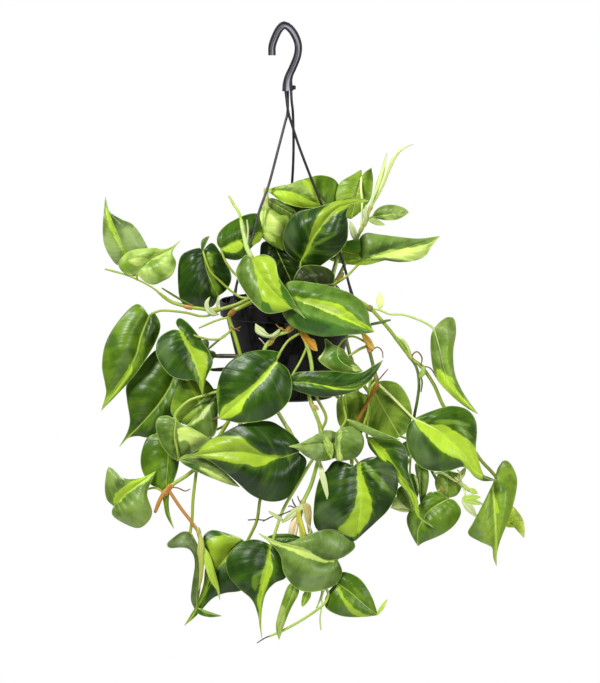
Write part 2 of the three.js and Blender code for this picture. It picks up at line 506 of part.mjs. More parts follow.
leafyStem('stem_centre', {
  root: [14, -40],
  bars: [
    { radius: 2.1, line: [
      [303, 303, -55], [303, 300, -67], [302, 305, -79], [301, 318, -83], [301, 331, -84], [304, 338, -84],
      [308, 348, -84], [312, 370, -84], [309, 393, -84], [312, 405, -84], [318, 420, -80], [321, 431, -76],
      [320, 445, -73], [318, 460, -73], [311, 485, -74], [302, 505, -76], [300, 520, -78], [301, 530, -80],
      [304, 545, -81], [312, 562, -81], [321, 577, -82]] },
    { radius: 1.5, line: [
      [320, 575, -82], [327, 590, -82], [328, 596, -82], [323, 605, -82], [305, 618, -80], [284, 630, -77],
      [270, 636, -76]] },
    { radius: 0.7, line: [[273, 635, -76], [265, 638, -76], [257, 643, -76]] },
    { radius: 0.9, line: [[322, 605, -82], [320, 618, -82], [321, 630, -82]] },
    { radius: 1.6, line: [[312, 388, -84], [318, 400, -83], [326, 417, -80], [322, 430, -77]] },
    { radius: 1.7, line: [
      [320, 448, -73], [311, 462, -74], [298, 484, -76], [284, 508, -78], [276, 530, -80], [271, 547, -80]] },
    { radius: 2.9, line: [[301, 326, -84], [303, 335, -84]] },
    { radius: 1.1, line: [[303, 536, -80.5], [311, 532, -82], [306, 520, -82], [303, 508, -80]] },
  ],
  leaves: [
    { base: [276, 361, -97], tip: [219, 419, -94], rib: [[262, 378], [240, 401]],
      left: [[280, 353], [262, 350], [240, 355], [224, 368], [217, 388], [218, 407]],
      right: [[288, 370], [292, 388], [286, 405], [267, 419], [242, 423], [230, 421]],
      lean: [0.1, 0.1], stalk: [[302, 332, -85], [295, 336, -90], [288, 341, -94], [281, 351, -97]] },
    { base: [290, 382, -91], tip: [383, 360, -93], rib: [[310, 383], [340, 387], [365, 378]],
      left: [[291, 376], [300, 372], [330, 371], [358, 373], [373, 366]],
      right: [[291, 388], [310, 395], [325, 397], [345, 394], [363, 387], [375, 374]],
      lean: [0.1, 0.1], stalk: [[307, 347, -84.5], [300, 362, -88], [293, 374, -91]] },
    { base: [288, 297, -91], tip: [374, 332, -93], rib: [[315, 306], [345, 318]],
      left: [[285, 288], [292, 281], [320, 284], [345, 291], [360, 300], [368, 312], [370, 323]],
      right: [[281, 305], [284, 316], [295, 328], [320, 336], [345, 335], [362, 334]],
      lean: [0.2, -0.05], stalk: [[301.5, 308, -80], [297, 301, -84], [291, 297, -88]] },
    { base: [338, 442, -81], tip: [288, 446.5, -94],
      left: [[340, 452], [332, 459], [318, 461], [306, 456], [297, 449]],
      right: [[338, 434], [326, 430], [312, 437], [300, 443]],
      lean: [0.1, 0.1], stalk: [[321, 431, -76], [330, 436, -79]] },
    { base: [321, 429, -79], tip: [332, 458, -92], left: [[324, 440], [328, 450]],
      right: [[328, 436], [335, 444]] },
    { base: [318.5, 458, -73.5], tip: [329, 503, -90], spindle: 3.4 },
    { base: [303, 503, -78], tip: [313, 533, -80], left: [[309, 505], [312, 520]],
      right: [[306, 515], [310, 527]] },
    { base: [284, 521, -79], tip: [268, 511, -80], spindle: 2 },
    { base: [301, 518, -79], tip: [284, 522, -79], spindle: 2.4 },
    { base: [337, 559, -87], tip: [258, 533, -93], rib: [[325, 560], [310, 553], [290, 547], [272, 541]],
      left: [[345, 556], [355, 547], [350, 538], [335, 530], [322, 530], [304, 537], [285, 543], [270, 538]],
      right: [[342, 573], [333, 586], [312, 592], [296, 588], [284, 573], [280, 555], [269, 542]],
      lean: [0.05, 0.05], stalk: [[311, 560, -81], [322, 562, -83]] },
    { base: [302, 538, -80], tip: [264, 538, -74], left: [[292, 545], [276, 545]],
      right: [[292, 534], [276, 534]] },
    { base: [270, 545, -80], tip: [262, 639, -74], rib: [[268, 565], [262, 590], [259, 612]],
      left: [[278, 549], [285, 562], [286, 577], [275, 583], [266, 593], [262, 608], [261, 625]],
      right: [[259, 540], [245, 541], [232, 550], [226, 562], [229, 576], [240, 589], [252, 600], [258, 615],
        [260, 628]],
      lean: [0.15, 0.08] },
    { base: [296, 582, -79], tip: [279, 640, -76], rib: [[290, 600], [281, 622]],
      left: [[288, 586], [281, 605], [276, 625]], right: [[299, 592], [291, 608], [284, 625]],
      lean: [0.3, 0.3], stalk: [[320, 574, -82], [308, 577, -80]] },
    { base: [337, 583, -79], tip: [378, 615, -79], rib: [[350, 592], [366, 606]],
      left: [[330, 590], [325, 600], [327, 609], [342, 616], [362, 617]],
      right: [[335, 575], [345, 572], [360, 579], [371, 595]],
      lean: [0.1, 0.15], stalk: [[322, 578, -82], [330, 581, -80]] },
    { base: [377, 615, -79], tip: [387.5, 599, -77], spindle: 1.9 },
    { base: [310, 588, -81], tip: [302, 607, -81], spindle: 4, stalk: [[323, 581, -82], [316, 585, -81]] },
  ],
});

leafyStem('stem_top_left', {
  root: [-13, -20],
  bars: [
    { radius: 2.1, line: [[276, 303, -40], [269, 290, -62], [261, 275, -76], [253, 258, -82]] },
    { radius: 2.6, line: [[254, 262, -79], [247, 248, -76], [244, 234, -71], [241, 220, -66]] },
    { radius: 1.4, line: [[243, 228, -69], [239, 213, -64], [234, 205, -60], [229, 196, -56]] },
    { radius: 1.1, line: [[247, 244, -75], [248, 231, -75], [247, 220, -74]] },
  ],
  leaves: [
    { base: [252, 259, -82], tip: [306, 319, -107], rib: [[262, 278], [280, 298]],
      left: [[246, 255], [240, 262], [236, 274], [243, 289], [254, 304], [266, 313], [281, 312], [295, 309]],
      right: [[257, 256], [266, 255], [275, 261], [279, 277], [289, 293], [297, 307]],
      lean: [0.12, 0.1], stalk: [[255, 264, -81], [252, 256, -82]] },
    { base: [221, 249, -48], tip: [263, 230, -18],
      left: [[217, 243], [218, 234], [226, 225], [238, 218], [248, 214], [258, 213], [263, 220]],
      right: [[222, 255], [228, 259], [238, 260], [244, 256], [253, 246], [261, 240]],
      lean: [0.05, 0.05], stalk: [[267, 287, -65], [250, 284, -61], [236, 275, -57], [226, 262, -54]] },
  ],
});

leafyStem('stem_top_centre', {
  root: [-10, 2],
  bars: [
    { radius: 2, line: [[279, 290, -2], [277, 265, -4], [272, 240, -6], [267, 215, -8], [265.5, 192, -9]] },
    { radius: 2.7, line: [[266, 212, -8], [266, 188, -9]] },
  ],
  leaves: [
    { base: [266.5, 190, -9], tip: [327, 205, -5], rib: [[290, 192], [310, 201]],
      left: [[273, 195], [281, 201], [292, 205.5], [305, 207.5], [318, 207.5]],
      right: [[280, 186], [290, 184], [300, 180], [308, 181], [314, 188], [320, 197]],
      lean: [-0.1, 0.1] },
    { base: [318, 228, 15], tip: [286, 190, 9],
      left: [[306, 232], [294, 222], [286, 206]],
      right: [[334, 222], [343, 205], [337, 182], [324, 175.5], [311, 177], [297, 182]],
      lean: [0, 0.05], stalk: [[272, 240, -6], [290, 245, 4], [305, 240, 11]] },
    { base: [266, 206, -10], tip: [284, 251, -18], rib: [[264, 222], [272, 238]],
      left: [[272, 210], [280, 215], [288, 216], [290, 222], [286, 232], [285, 242]],
      right: [[260, 209], [257.5, 220], [259, 232], [265, 240], [274, 246]],
      lean: [0.1, 0.2] },
    { base: [266, 199, -8.5], tip: [297, 217, -10], left: [[270, 208], [280, 215], [290, 220]],
      right: [[273, 198], [284, 203], [294, 210]] },
    { base: [272.5, 241, -6.3], tip: [298, 296, -10],
      left: [[262, 243], [260, 256], [262, 270], [276, 290]],
        right: [[282, 246], [294, 252], [302, 264], [303, 282]] },
  ],
});

leafyStem('stem_top_right', {
  root: [24, -6],
  bars: [
    { radius: 1.9, line: [
      [314, 300, -10], [323, 291, -16], [333, 285, -21], [342, 270, -14], [349, 254, -4], [356, 240, -3],
      [361, 230, -4], [366, 222, -5]] },
    { radius: 1.7, line: [[364, 226, -5], [371, 206, -6], [376, 190, -6], [380, 175, -6]] },
  ],
  leaves: [
    { base: [366, 227, -5], tip: [386, 153, -5], left: [[375, 204], [381, 185], [385, 166]],
      right: [[367, 212], [373, 193], [380, 167]], lean: [0.5, 0] },
    { base: [368, 222, -7], tip: [413, 144, -7], rib: [[382, 186], [390, 166], [399, 151]],
      left: [[380, 200], [388, 180], [395, 162], [402, 150]], right: [[373, 200], [384, 176], [396, 153]],
      lean: [0.4, 0] },
    { base: [356, 241, -4], tip: [350, 221, -3], spindle: 3.4 },
    { base: [365, 224, -6], tip: [366, 204, -7], spindle: 2 },
    { base: [372, 217, -8], tip: [409, 212.5, -12], left: [[380, 219], [390, 220.5], [401, 218]],
      right: [[376, 210], [384, 205.5], [394, 205], [404, 208]], lean: [-0.2, 0.2],
      stalk: [[366, 222, -5], [369, 219, -7]] },
    { base: [368, 219, -7], tip: [385, 225, -9], spindle: 3 },
    { base: [361, 178, 8], tip: [351, 220, 5],
      left: [[366, 167], [372, 168], [374, 190], [366, 206], [359, 214]],
      right: [[352, 171], [338, 180], [334, 194], [338, 208], [344, 217]],
      lean: [0.15, 0], stalk: [[361, 229, -4], [362, 215, -5], [362, 200, -4], [361, 188, 1]] },
    { base: [301, 262, -34], tip: [369, 201, -32], rib: [[308, 247], [320, 228], [338, 208]],
      left: [[303, 268], [311, 270], [320, 266], [330, 259], [340, 251], [347, 240], [348, 225], [347, 212],
        [354, 204]],
      right: [[294, 259], [286, 251], [283, 240], [286, 226], [296, 213], [312, 208.5], [328, 204], [344, 198.5],
        [358, 198]],
      lean: [0.1, 0.2], stalk: [[323, 291, -16], [308, 286, -27], [301, 273, -33]] },
    { base: [363, 260, -13], tip: [440, 236, -8], rib: [[380, 256], [400, 250], [420, 243]],
      left: [[372, 259], [385, 260], [400, 262], [413, 261], [425, 256], [432, 246]],
      right: [[360, 252], [359, 240], [366, 233], [380, 234.5], [400, 237], [420, 238.5]],
      lean: [-0.1, 0.15], stalk: [[332, 286, -21], [340, 281, -31], [347, 276, -34], [356, 267, -27]] },
    { base: [341, 251, -8], tip: [386, 260, -4],
      left: [[334, 257], [330, 260], [345, 264], [365, 265], [378, 262]],
      right: [[343, 243], [352, 240], [362, 240], [376, 250]],
      stalk: [[333, 286, -21], [332.5, 274, -20], [335.5, 262, -16], [339.5, 252, -12]], stalkRadius: 1.5 },
    { base: [333, 284, -42], tip: [294, 286, -62], left: [[330, 289], [318, 292], [304, 291]],
      right: [[334, 274], [325, 267], [312, 265], [301, 267], [294, 278]],
      stalk: [[330, 287, -20], [333, 286, -32]] },
  ],
});

leafyStem('stem_right', {
  root: [33, -12],
  bars: [
    { radius: 1.9, line: [
      [325, 302, -24], [336, 293, -38], [346, 293, -47], [356, 299, -54], [370, 308, -58], [388, 328, -60],
      [400, 344, -60], [411, 358, -58], [422, 367, -54], [434, 385, -50], [443, 405, -46], [455, 422, -43],
      [466, 438, -41], [480, 459, -39], [490, 470, -39], [498, 479, -40]] },
    { radius: 1.6, line: [
      [411, 358, -58], [417, 369, -56], [419, 385, -53], [417, 402, -50], [414, 420, -46], [416, 440, -44],
      [425, 458, -44], [434, 475, -47], [441, 487, -51], [448, 499, -55]] },
    { radius: 1.1, line: [[371, 324, -62], [380, 322, -61], [390, 320, -59]] },
    { radius: 1, line: [[417.5, 370, -55.6], [422, 381, -56], [421, 392, -56]] },
    { radius: 1.2, line: [[433, 474, -47], [442, 473, -50], [452, 479, -52], [461, 484, -52], [465, 493, -52],
      [463, 500, -52]] },
    { radius: 2.7, line: [[368, 306.5, -57.5], [373, 311, -58.3]] },
  ],
  leaves: [
    { base: [434, 329, -60], tip: [478, 414, -54], rib: [[440, 350], [446, 374], [462, 396]],
      left: [[440, 322], [448, 317], [454, 319], [456, 332], [453, 352], [455, 374], [464, 394]],
      right: [[431, 337], [431, 355], [436, 377], [450, 394], [466, 407]],
      lean: [0.3, 0.3],
      stalk: [[370, 308, -58], [380, 310, -59], [390, 314, -60], [405, 315, -61], [424, 322, -61]] },
    { base: [411, 358, -60], tip: [395, 335, -62], spindle: 2.6 },
    { base: [420, 462, -50], tip: [421, 507, -50], left: [[427, 468], [429, 479], [426, 494]],
      right: [[415, 465], [417, 480], [419, 494]], stalk: [[416, 440, -44], [418, 452, -48]] },
    { base: [410, 473, -58], tip: [417, 500, -60], left: [[416, 476], [419, 488]],
      right: [[407, 480], [411, 490]],
      stalk: [[416, 440, -44], [411, 456, -52]], stalkRadius: 1.1 },
    { base: [405, 484, -63], tip: [414, 513, -62], left: [[413, 490], [417, 501]],
      right: [[398, 489], [397, 497], [405, 506]], stalk: [[416, 446, -44], [407, 466, -56]],
        stalkRadius: 1.1 },
    { base: [414, 511, -58], tip: [391, 508, -58], left: [[403, 512]], right: [[405, 503], [397, 496]],
      stalk: [[441, 489, -51], [428, 500, -52], [419, 508, -56]], stalkRadius: 1.1 },
    { base: [448, 471, -43], tip: [447, 498, -43], left: [[458, 473], [462, 484], [457, 495]],
      right: [[440, 472], [435, 481], [438, 492]],
        stalk: [[453, 419, -43.5], [452, 440, -42], [450, 456, -42]] },
    { base: [448, 499, -57], tip: [418, 546, -57], rib: [[432, 508], [424, 518], [418, 530]],
      left: [[455, 501], [461, 511], [456, 523], [446, 532], [434, 538], [424, 542]],
      right: [[440, 493], [430, 492], [424, 498], [418, 506], [409, 512], [407, 522], [412, 536]],
      lean: [0.1, 0.15] },
    { base: [462, 498, -52], tip: [481, 497, -52], spindle: 3 },
    { base: [462, 499, -52], tip: [483, 504, -50], spindle: 3 },
    { base: [462, 499, -52], tip: [477, 517, -50], spindle: 4 },
    { base: [457, 482, -52], tip: [466, 467, -50], spindle: 3 },
    { base: [497, 479, -41], tip: [496, 566, -47], rib: [[493, 500], [495, 525], [496, 546]],
      left: [[499, 466], [503, 461], [508, 460], [514, 470], [517, 483], [514, 508], [508, 528], [502, 547]],
      right: [[492, 484], [482, 505], [473, 523], [468, 534], [476, 539], [486, 544], [492, 551]],
      lean: [0.2, 0.15] },
    { base: [504, 516, -30], tip: [524, 538, -28], left: [[512, 509], [519, 513], [524, 521]],
      right: [[506, 526], [515, 527], [521, 527]],
      stalk: [[497, 478, -39.5], [504, 490, -31], [507, 504, -29]], stalkRadius: 1.1 },
  ],
});

leafyStem('stem_centre_right', {
  root: [32, -38],
  bars: [
    { radius: 1.9, line: [
      [323, 302, -50], [331, 299, -58], [338, 301, -67], [346, 306, -73], [354, 316, -77], [362, 330, -79],
      [367, 342, -80], [373, 365, -80], [378, 386, -80]] },
    { radius: 2.8, line: [[370, 352, -80], [368, 343, -80]] },
    { radius: 1.5, line: [[368, 346, -80], [360, 349, -82], [349, 356, -84]] },
    { radius: 0.9, line: [[378, 385, -80], [366, 405, -80], [355, 425, -80]] },
  ],
  leaves: [
    { base: [338, 347, -86], tip: [363, 371, -88], rib: [[338, 357], [346, 365]],
      left: [[332, 344], [325, 338], [325.5, 347], [322, 354], [318, 359], [325, 366], [337, 372], [351, 375]],
      right: [[343, 349], [348, 356], [355, 363]],
      lean: [0.05, 0.1], stalk: [[367, 343, -80], [357, 337.5, -83], [350, 336.5, -84], [343, 340, -85]] },
    { base: [374, 350, -82], tip: [361, 331, -82], spindle: 3.4 },
    { base: [414, 419, -66], tip: [497, 480, -60], rib: [[440, 432], [463, 453], [477, 471]],
      left: [[407, 428], [407, 445], [415, 461], [428, 470], [448, 471], [464, 467], [475, 477], [484, 481]],
      right: [[420, 416], [432, 411], [450, 406], [466, 409], [475, 419], [477, 432], [476, 448], [479, 462],
        [485, 477]],
      lean: [0.15, 0.25], stalk: [[378, 384, -80], [390, 395, -75], [401, 406, -71]] },
    { base: [345, 396, -66], tip: [350, 430, -66], left: [[358, 394], [367, 404], [367, 420], [360, 431]],
      right: [[338, 400], [337, 414], [341, 427]],
      stalk: [[374, 370, -80], [360, 377, -74], [350, 386, -68]] },
    { base: [372, 388, -68], tip: [400, 437, -66],
      left: [[380, 381], [397, 383], [408, 397], [412, 414], [408, 430]],
      right: [[369, 400], [368, 420], [375, 434], [388, 440]],
      lean: [0.1, 0.05], stalk: [[376, 377, -80], [373, 382, -74]] },
    { base: [367, 437, -73], tip: [434, 528, -71], rib: [[390, 464], [408, 488], [416, 506], [421, 518]],
      left: [[378, 438], [392, 439], [402, 443], [408, 456], [408, 470], [412, 484], [418, 500], [420, 513]],
      right: [[369, 447], [378, 458], [390, 473], [399, 483], [409, 495], [414, 508], [420, 519]],
      lean: [0.1, -0.05], stalk: [[377, 380, -80], [370, 390, -81], [368, 410, -81], [367, 428, -78]] },
    { base: [341, 428, -90], tip: [338, 461, -90],
      left: [[352, 427], [362, 434], [364, 445], [358, 456], [348, 460]],
      right: [[336, 433], [335, 446], [334, 456]],
      stalk: [[374, 369, -80], [355, 386, -81], [342, 394, -83], [344, 408, -86], [346, 419, -89]] },
    { base: [346, 419, -89], tip: [400, 440, -86], left: [[358, 422], [378, 431]],
      right: [[358, 429], [378, 438]],
      lean: [0.5, 0] },
    { base: [358, 463, -83], tip: [355, 541, -84], rib: [[361, 490], [360, 515]],
      left: [[365, 459], [378, 457], [393, 464], [398, 480], [396, 495], [388, 510], [376, 522], [364, 533]],
      right: [[349, 468], [341, 461], [333, 462], [327, 470], [319, 480], [314, 505], [316, 528], [336, 540]],
      lean: [0.1, 0.25], stalk: [[368, 412, -81], [360, 436, -82], [354, 454, -84]] },
  ],
});

leafyStem('stem_back_left', {
  root: [-18, 24],
  bars: [
    { radius: 2, line: [
      [272, 290, 44], [268, 280, 68], [262, 284, 86], [256, 300, 92], [250, 330, 94], [252, 370, 92],
      [245, 400, 88], [240, 430, 85], [244, 455, 83]] },
  ],
  leaves: [
    { base: [212, 345, 74], tip: [166, 370, 66], heart: 19, lean: [0.2, 0.1],
      stalk: [[252, 322, 94], [240, 326, 90], [224, 336, 80]] },
    { base: [222, 388, 86], tip: [186, 415, 80], heart: 16, lean: [0.1, 0.2],
      stalk: [[251, 375, 91.5], [240, 378, 92]] },
    { base: [240, 345, 108], tip: [268, 392, 112], heart: 22, lean: [0.2, 0.1],
      stalk: [[253, 318, 93.5], [247, 328, 102]] },
    { base: [250, 440, 90], tip: [216, 463, 92], heart: 15, lean: [0.1, 0.1],
      stalk: [[240, 426, 85.5], [246, 430, 88]] },
    { base: [256, 452, 84], tip: [284, 489, 78], heart: 17, lean: [0.1, 0.1], stalk: [[243, 450, 83.5]] },
  ],
});

leafyStem('stem_back_centre', {
  root: [4, 32],
  bars: [
    { radius: 2, line: [
      [293, 290, 52], [295, 280, 72], [298, 286, 88], [302, 310, 94], [308, 350, 94], [322, 380, 90],
      [342, 402, 84], [350, 422, 80], [351, 445, 78], [352, 466, 77]] },
  ],
  leaves: [
    { base: [318, 335, 112], tip: [342, 378, 114], heart: 21, lean: [0.1, 0.2],
      stalk: [[303, 315, 94], [308, 324, 104]] },
    { base: [296, 345, 112], tip: [282, 390, 116], heart: 20, lean: [0.2, 0.1],
      stalk: [[304, 322, 94], [298, 332, 104]] },
    { base: [352, 476, 76], tip: [350, 520, 72], heart: 20, lean: [0.1, 0.1], stalk: [[352, 462, 77]] },
    { base: [346, 436, 90], tip: [352, 455, 92], heart: 9, stalk: [[351, 424, 80], [347, 429, 86]] },
  ],
});

leafyStem('stem_back_right', {
  root: [26, 22],
  bars: [
    { radius: 2, line: [
      [315, 290, 44], [320, 280, 62], [327, 282, 78], [336, 296, 84], [344, 330, 84], [355, 370, 78],
      [374, 400, 72], [388, 424, 66], [394, 445, 62]] },
  ],
  leaves: [
    { base: [350, 345, 98], tip: [346, 382, 100], heart: 17, lean: [0.1, 0.2],
      stalk: [[342, 320, 84], [348, 334, 92]] },
    { base: [388, 400, 56], tip: [400, 428, 48], heart: 11, stalk: [[374, 400, 72], [382, 397, 64]] },
    { base: [410, 440, 56], tip: [446, 458, 46], heart: 15, lean: [0.2, 0.1],
      stalk: [[391, 432, 64.5], [400, 436, 60]] },
    { base: [358, 396, 88], tip: [352, 422, 92], heart: 12, stalk: [[352, 360, 79.5], [357, 380, 86]] },
  ],
});

add('pot', potGeometry(), 0x262428, 0.25);
add('soil', soilGeometry(roots), 0x3a2a20, 0.95);
add('hook', hookGeometry(), 0x3f3f44, 0.4);
for (const side of Object.keys(ROD_LINES)) add(`hanger_rod_${side}`, rodGeometry(side), 0x2c2b30, 0.4);

export default group;
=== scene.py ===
import math

import bmesh
import bpy
import numpy as np
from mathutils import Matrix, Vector


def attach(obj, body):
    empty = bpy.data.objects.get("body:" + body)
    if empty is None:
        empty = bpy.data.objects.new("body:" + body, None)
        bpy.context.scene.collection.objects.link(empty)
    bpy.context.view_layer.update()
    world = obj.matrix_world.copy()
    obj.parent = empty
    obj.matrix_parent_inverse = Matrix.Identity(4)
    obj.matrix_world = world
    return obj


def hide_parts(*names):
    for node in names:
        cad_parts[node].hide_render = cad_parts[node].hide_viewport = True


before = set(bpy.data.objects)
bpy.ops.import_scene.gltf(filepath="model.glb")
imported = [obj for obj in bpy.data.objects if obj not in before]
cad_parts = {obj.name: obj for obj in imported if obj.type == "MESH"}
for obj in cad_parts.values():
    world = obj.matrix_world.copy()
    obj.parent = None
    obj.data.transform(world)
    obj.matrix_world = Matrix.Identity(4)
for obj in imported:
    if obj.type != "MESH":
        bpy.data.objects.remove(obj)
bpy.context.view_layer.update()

# View and light: the camera stands 6 m off, a little above the pot, as in the photograph. Points of its
# 600 x 683 picture, with a depth in millimetres, place the leaves, stems and rods. A white room, a broad
# lamp high on the left and two weaker ones, low on the right and behind, light them.
MM = 0.001
RIM_RADIUS = 75
RIM_PIXELS = 140
PIXEL = 2 * RIM_RADIUS / RIM_PIXELS
PICTURE_WIDTH, PICTURE_HEIGHT = 600, 683
ELEVATION = math.radians(7.5)
DISTANCE = 6000
SENSOR = 24
LAMPS = {
    "key": ((-1.5, -1.9, 2.1), 0.9, 124),
    "fill": ((2.2, -2.1, 0.3), 1.1, 44),
    "back": ((0.6, 1.9, 1.5), 1.2, 52),
}
ROOM_STRENGTH, BACKGROUND_STRENGTH = 0.24, 1.0


def sight(u, v, y):
    """Point in millimetres at depth y on the sight line of picture point (u, v)"""
    across = (u - PICTURE_WIDTH / 2) * PIXEL
    up = (PICTURE_HEIGHT / 2 - v) * PIXEL
    cos, sin = math.cos(ELEVATION), math.sin(ELEVATION)
    reach = (y + DISTANCE * cos) / (DISTANCE * cos + up * sin)
    return np.stack([reach * across, y + 0 * reach, DISTANCE * sin * (1 - reach) + reach * up * cos], -1)


SEAT = sight(284, 28.5, 0)


def seen(points):
    """Places of picture points (u, v, depth), from the hook's seat"""
    points = np.asarray(points, float)
    return sight(points[..., 0], points[..., 1], points[..., 2]) - SEAT


aim = Vector(seen([PICTURE_WIDTH / 2, PICTURE_HEIGHT / 2, 0]) * MM)
scene = bpy.context.scene
camera = bpy.data.objects.new("camera", bpy.data.cameras.new("camera"))
scene.collection.objects.link(camera)
camera.location = aim + Vector((0, -math.cos(ELEVATION), math.sin(ELEVATION))) * DISTANCE * MM
camera.rotation_euler = (math.pi / 2 - ELEVATION, 0, 0)
camera.data.sensor_fit = "VERTICAL"
camera.data.sensor_height = SENSOR
camera.data.lens = SENSOR * DISTANCE / (PICTURE_HEIGHT * PIXEL)
camera.data.clip_end = 50
scene.camera = camera
scene.view_settings.view_transform = "Standard"

for name, (place, size, power) in LAMPS.items():
    light = bpy.data.lights.new(name, "AREA")
    light.shape = "DISK"
    light.size = size
    light.energy = power
    holder = bpy.data.objects.new(name, light)
    scene.collection.objects.link(holder)
    holder.location = aim + Vector(place)
    holder.rotation_euler = (-Vector(place)).to_track_quat("-Z", "Y").to_euler()
room = bpy.data.worlds.new("room")
room.use_nodes = True
room_light = room.node_tree.nodes["Background"]
room_light.inputs["Color"].default_value = (1, 1, 1, 1)
seen_light = room.node_tree.nodes.new("ShaderNodeMapRange")
ray = room.node_tree.nodes.new("ShaderNodeLightPath")
seen_light.inputs["To Min"].default_value = ROOM_STRENGTH
seen_light.inputs["To Max"].default_value = BACKGROUND_STRENGTH
room.node_tree.links.new(ray.outputs["Is Camera Ray"], seen_light.inputs["Value"])
room.node_tree.links.new(seen_light.outputs["Result"], room_light.inputs["Strength"])
scene.world = room


# Pot: a black 15 cm hanging pot, injection-moulded in glossy plastic with a straight stepped collar, a
# raised floor and five drain holes. It hangs by its rim from the three clips of the hanger.
RIM_TOP = -291
POT_X = (sight(289.5, 299.5, 0) - SEAT)[0]
POT_HEIGHT = 104
POT_BOTTOM = RIM_TOP - POT_HEIGHT
POT_SIDES = 160
WALL = 2
COLLAR_HEIGHT = 16
BODY_TOP_RADIUS = 68.5
BASE_RADIUS = 47.5
FLOOR_RISE = 3
DRAINS, DRAIN_RADIUS, DRAIN_CIRCLE, DRAIN_SIDES = 5, 4, 25, 40
DRILL_LENGTH = 12
POT_BLACK, POT_DUST = (19, 16, 20), (52, 48, 52)


def linear(colour):
    """Screen colour 0-255 as the light that it stands for"""
    share = np.asarray(colour, float) / 255
    return np.where(share > 0.04045, ((share + 0.055) / 1.055) ** 2.4, share / 12.92)


class Wire:
    """Output of a shader node. Sums written with it add Math nodes."""

    def __init__(self, paint, socket):
        self.paint = paint
        self.socket = socket

    def maths(self, operation, *values):
        sockets = dict(enumerate(values))
        return self.paint.node("ShaderNodeMath", dict(operation=operation), sockets)

    def __add__(self, other):
        return self.maths("ADD", self, other)

    def __sub__(self, other):
        return self.maths("SUBTRACT", self, other)

    def __rsub__(self, other):
        return self.maths("SUBTRACT", other, self)

    def __mul__(self, other):
        return self.maths("MULTIPLY", self, other)

    def __pow__(self, other):
        return self.maths("POWER", self, other)

    def __abs__(self):
        return self.maths("ABSOLUTE", self)

    def sine(self):
        return self.maths("SINE", self)

    __radd__ = __add__
    __rmul__ = __mul__

    def step(self, low, high, start=0.0, end=1.0):
        """Goes smoothly from start to end while the value goes from low to high"""
        return self.paint.node("ShaderNodeMapRange", dict(interpolation_type="SMOOTHSTEP"), {
            "Value": self, "From Min": low, "From Max": high, "To Min": start, "To Max": end})


class Paint:
    """A material and its nodes"""

    def __init__(self, name, **constants):
        self.material = bpy.data.materials.new(name)
        self.material.use_nodes = True
        self.tree = self.material.node_tree
        self.shader = self.tree.nodes["Principled BSDF"]
        for key, value in constants.items():
            self.shader.inputs[key.replace("_", " ")].default_value = value

    def node(self, kind, settings, values, output=0):
        """One node: its settings are made first, then its sockets are set or linked"""
        made = self.tree.nodes.new(kind)
        for key, value in settings.items():
            setattr(made, key, value)
        for key, value in values.items():
            self.feed(made.inputs[key], value)
        return Wire(self, made.outputs[output])

    def feed(self, socket, value):
        if isinstance(value, Wire):
            self.tree.links.new(value.socket, socket)
        elif socket.type == "RGBA":
            socket.default_value = (*value, 1)
        else:
            socket.default_value = value

    def place(self):
        """Position on the piece, in metres"""
        return self.node("ShaderNodeTexCoord", {}, {}, "Object")

    def mark(self, name, output="Fac"):
        """Value or colour that the mesh carries at each of its points"""
        return self.node("ShaderNodeAttribute", dict(attribute_name=name), {}, output)

    def noise(self, vector, scale, detail=3.0, roughness=0.5):
        return self.node("ShaderNodeTexNoise", {}, {
            "Vector": vector, "Scale": scale, "Detail": detail, "Roughness": roughness})

    def mix(self, share, first, second, blend="MIX"):
        return self.node("ShaderNodeMix", dict(data_type="RGBA", blend_type=blend), {
            0: share, 6: first, 7: second}, 2)

    def bump(self, height, distance, strength=1.0, normal=None):
        values = {"Height": height, "Distance": distance, "Strength": strength}
        if normal:
            values["Normal"] = normal
        return self.node("ShaderNodeBump", {}, values)

    def finish(self, **wires):
        for key, value in wires.items():
            self.feed(self.shader.inputs[key.replace("_", " ")], value)
        return self.material


def rounded(outline, radius, steps=4):
    """Outline with each corner turned into an arc, smaller where its sides are short"""
    outline = [np.asarray(p, float) for p in outline]
    points = [outline[0]]
    for before, corner, after in zip(outline, outline[1:], outline[2:]):
        back, ahead = before - corner, after - corner
        reach = min(radius, 0.45 * np.linalg.norm(back), 0.45 * np.linalg.norm(ahead))
        start = corner + back / np.linalg.norm(back) * reach
        end = corner + ahead / np.linalg.norm(ahead) * reach
        for t in np.linspace(0, 1, steps):
            points.append((1 - t) ** 2 * start + 2 * t * (1 - t) * corner + t ** 2 * end)
    return points + [outline[-1]]


def turned(profile, sides, centre):
    """Solid of revolution from a profile (radius, height) that starts and ends on the axis"""
    angles = np.arange(sides) * 2 * math.pi / sides
    points, faces, rings = [], [], []
    for radius, height in profile:
        if radius == 0:
            rings.append([len(points)] * sides)
            points.append((centre[0], centre[1], centre[2] + height))
            continue
        rings.append(list(range(len(points), len(points) + sides)))
        for angle in angles:
            points.append((centre[0] + radius * math.cos(angle), centre[1] + radius * math.sin(angle),
                           centre[2] + height))
    for low, high in zip(rings, rings[1:]):
        for i in range(sides):
            j = (i + 1) % sides
            corners = [low[i], low[j], high[j], high[i]]
            faces.append(tuple(dict.fromkeys(corners)))
    return points, faces


def mesh_of(name, points, faces):
    """Blender mesh from points in millimetres"""
    mesh = bpy.data.meshes.new(name)
    mesh.from_pydata((np.asarray(points, float) * MM).tolist(), [], [list(map(int, f)) for f in faces])
    mesh.validate()
    return mesh


def form_of(name, points, faces):
    """Editable form with its faces turned outward"""
    form = bmesh.new()
    form.from_mesh(mesh_of(name, points, faces))
    bmesh.ops.recalc_face_normals(form, faces=form.faces)
    return form


def set_down(form, name):
    """Mesh of a finished form"""
    mesh = bpy.data.meshes.new(name)
    form.to_mesh(mesh)
    form.free()
    return mesh


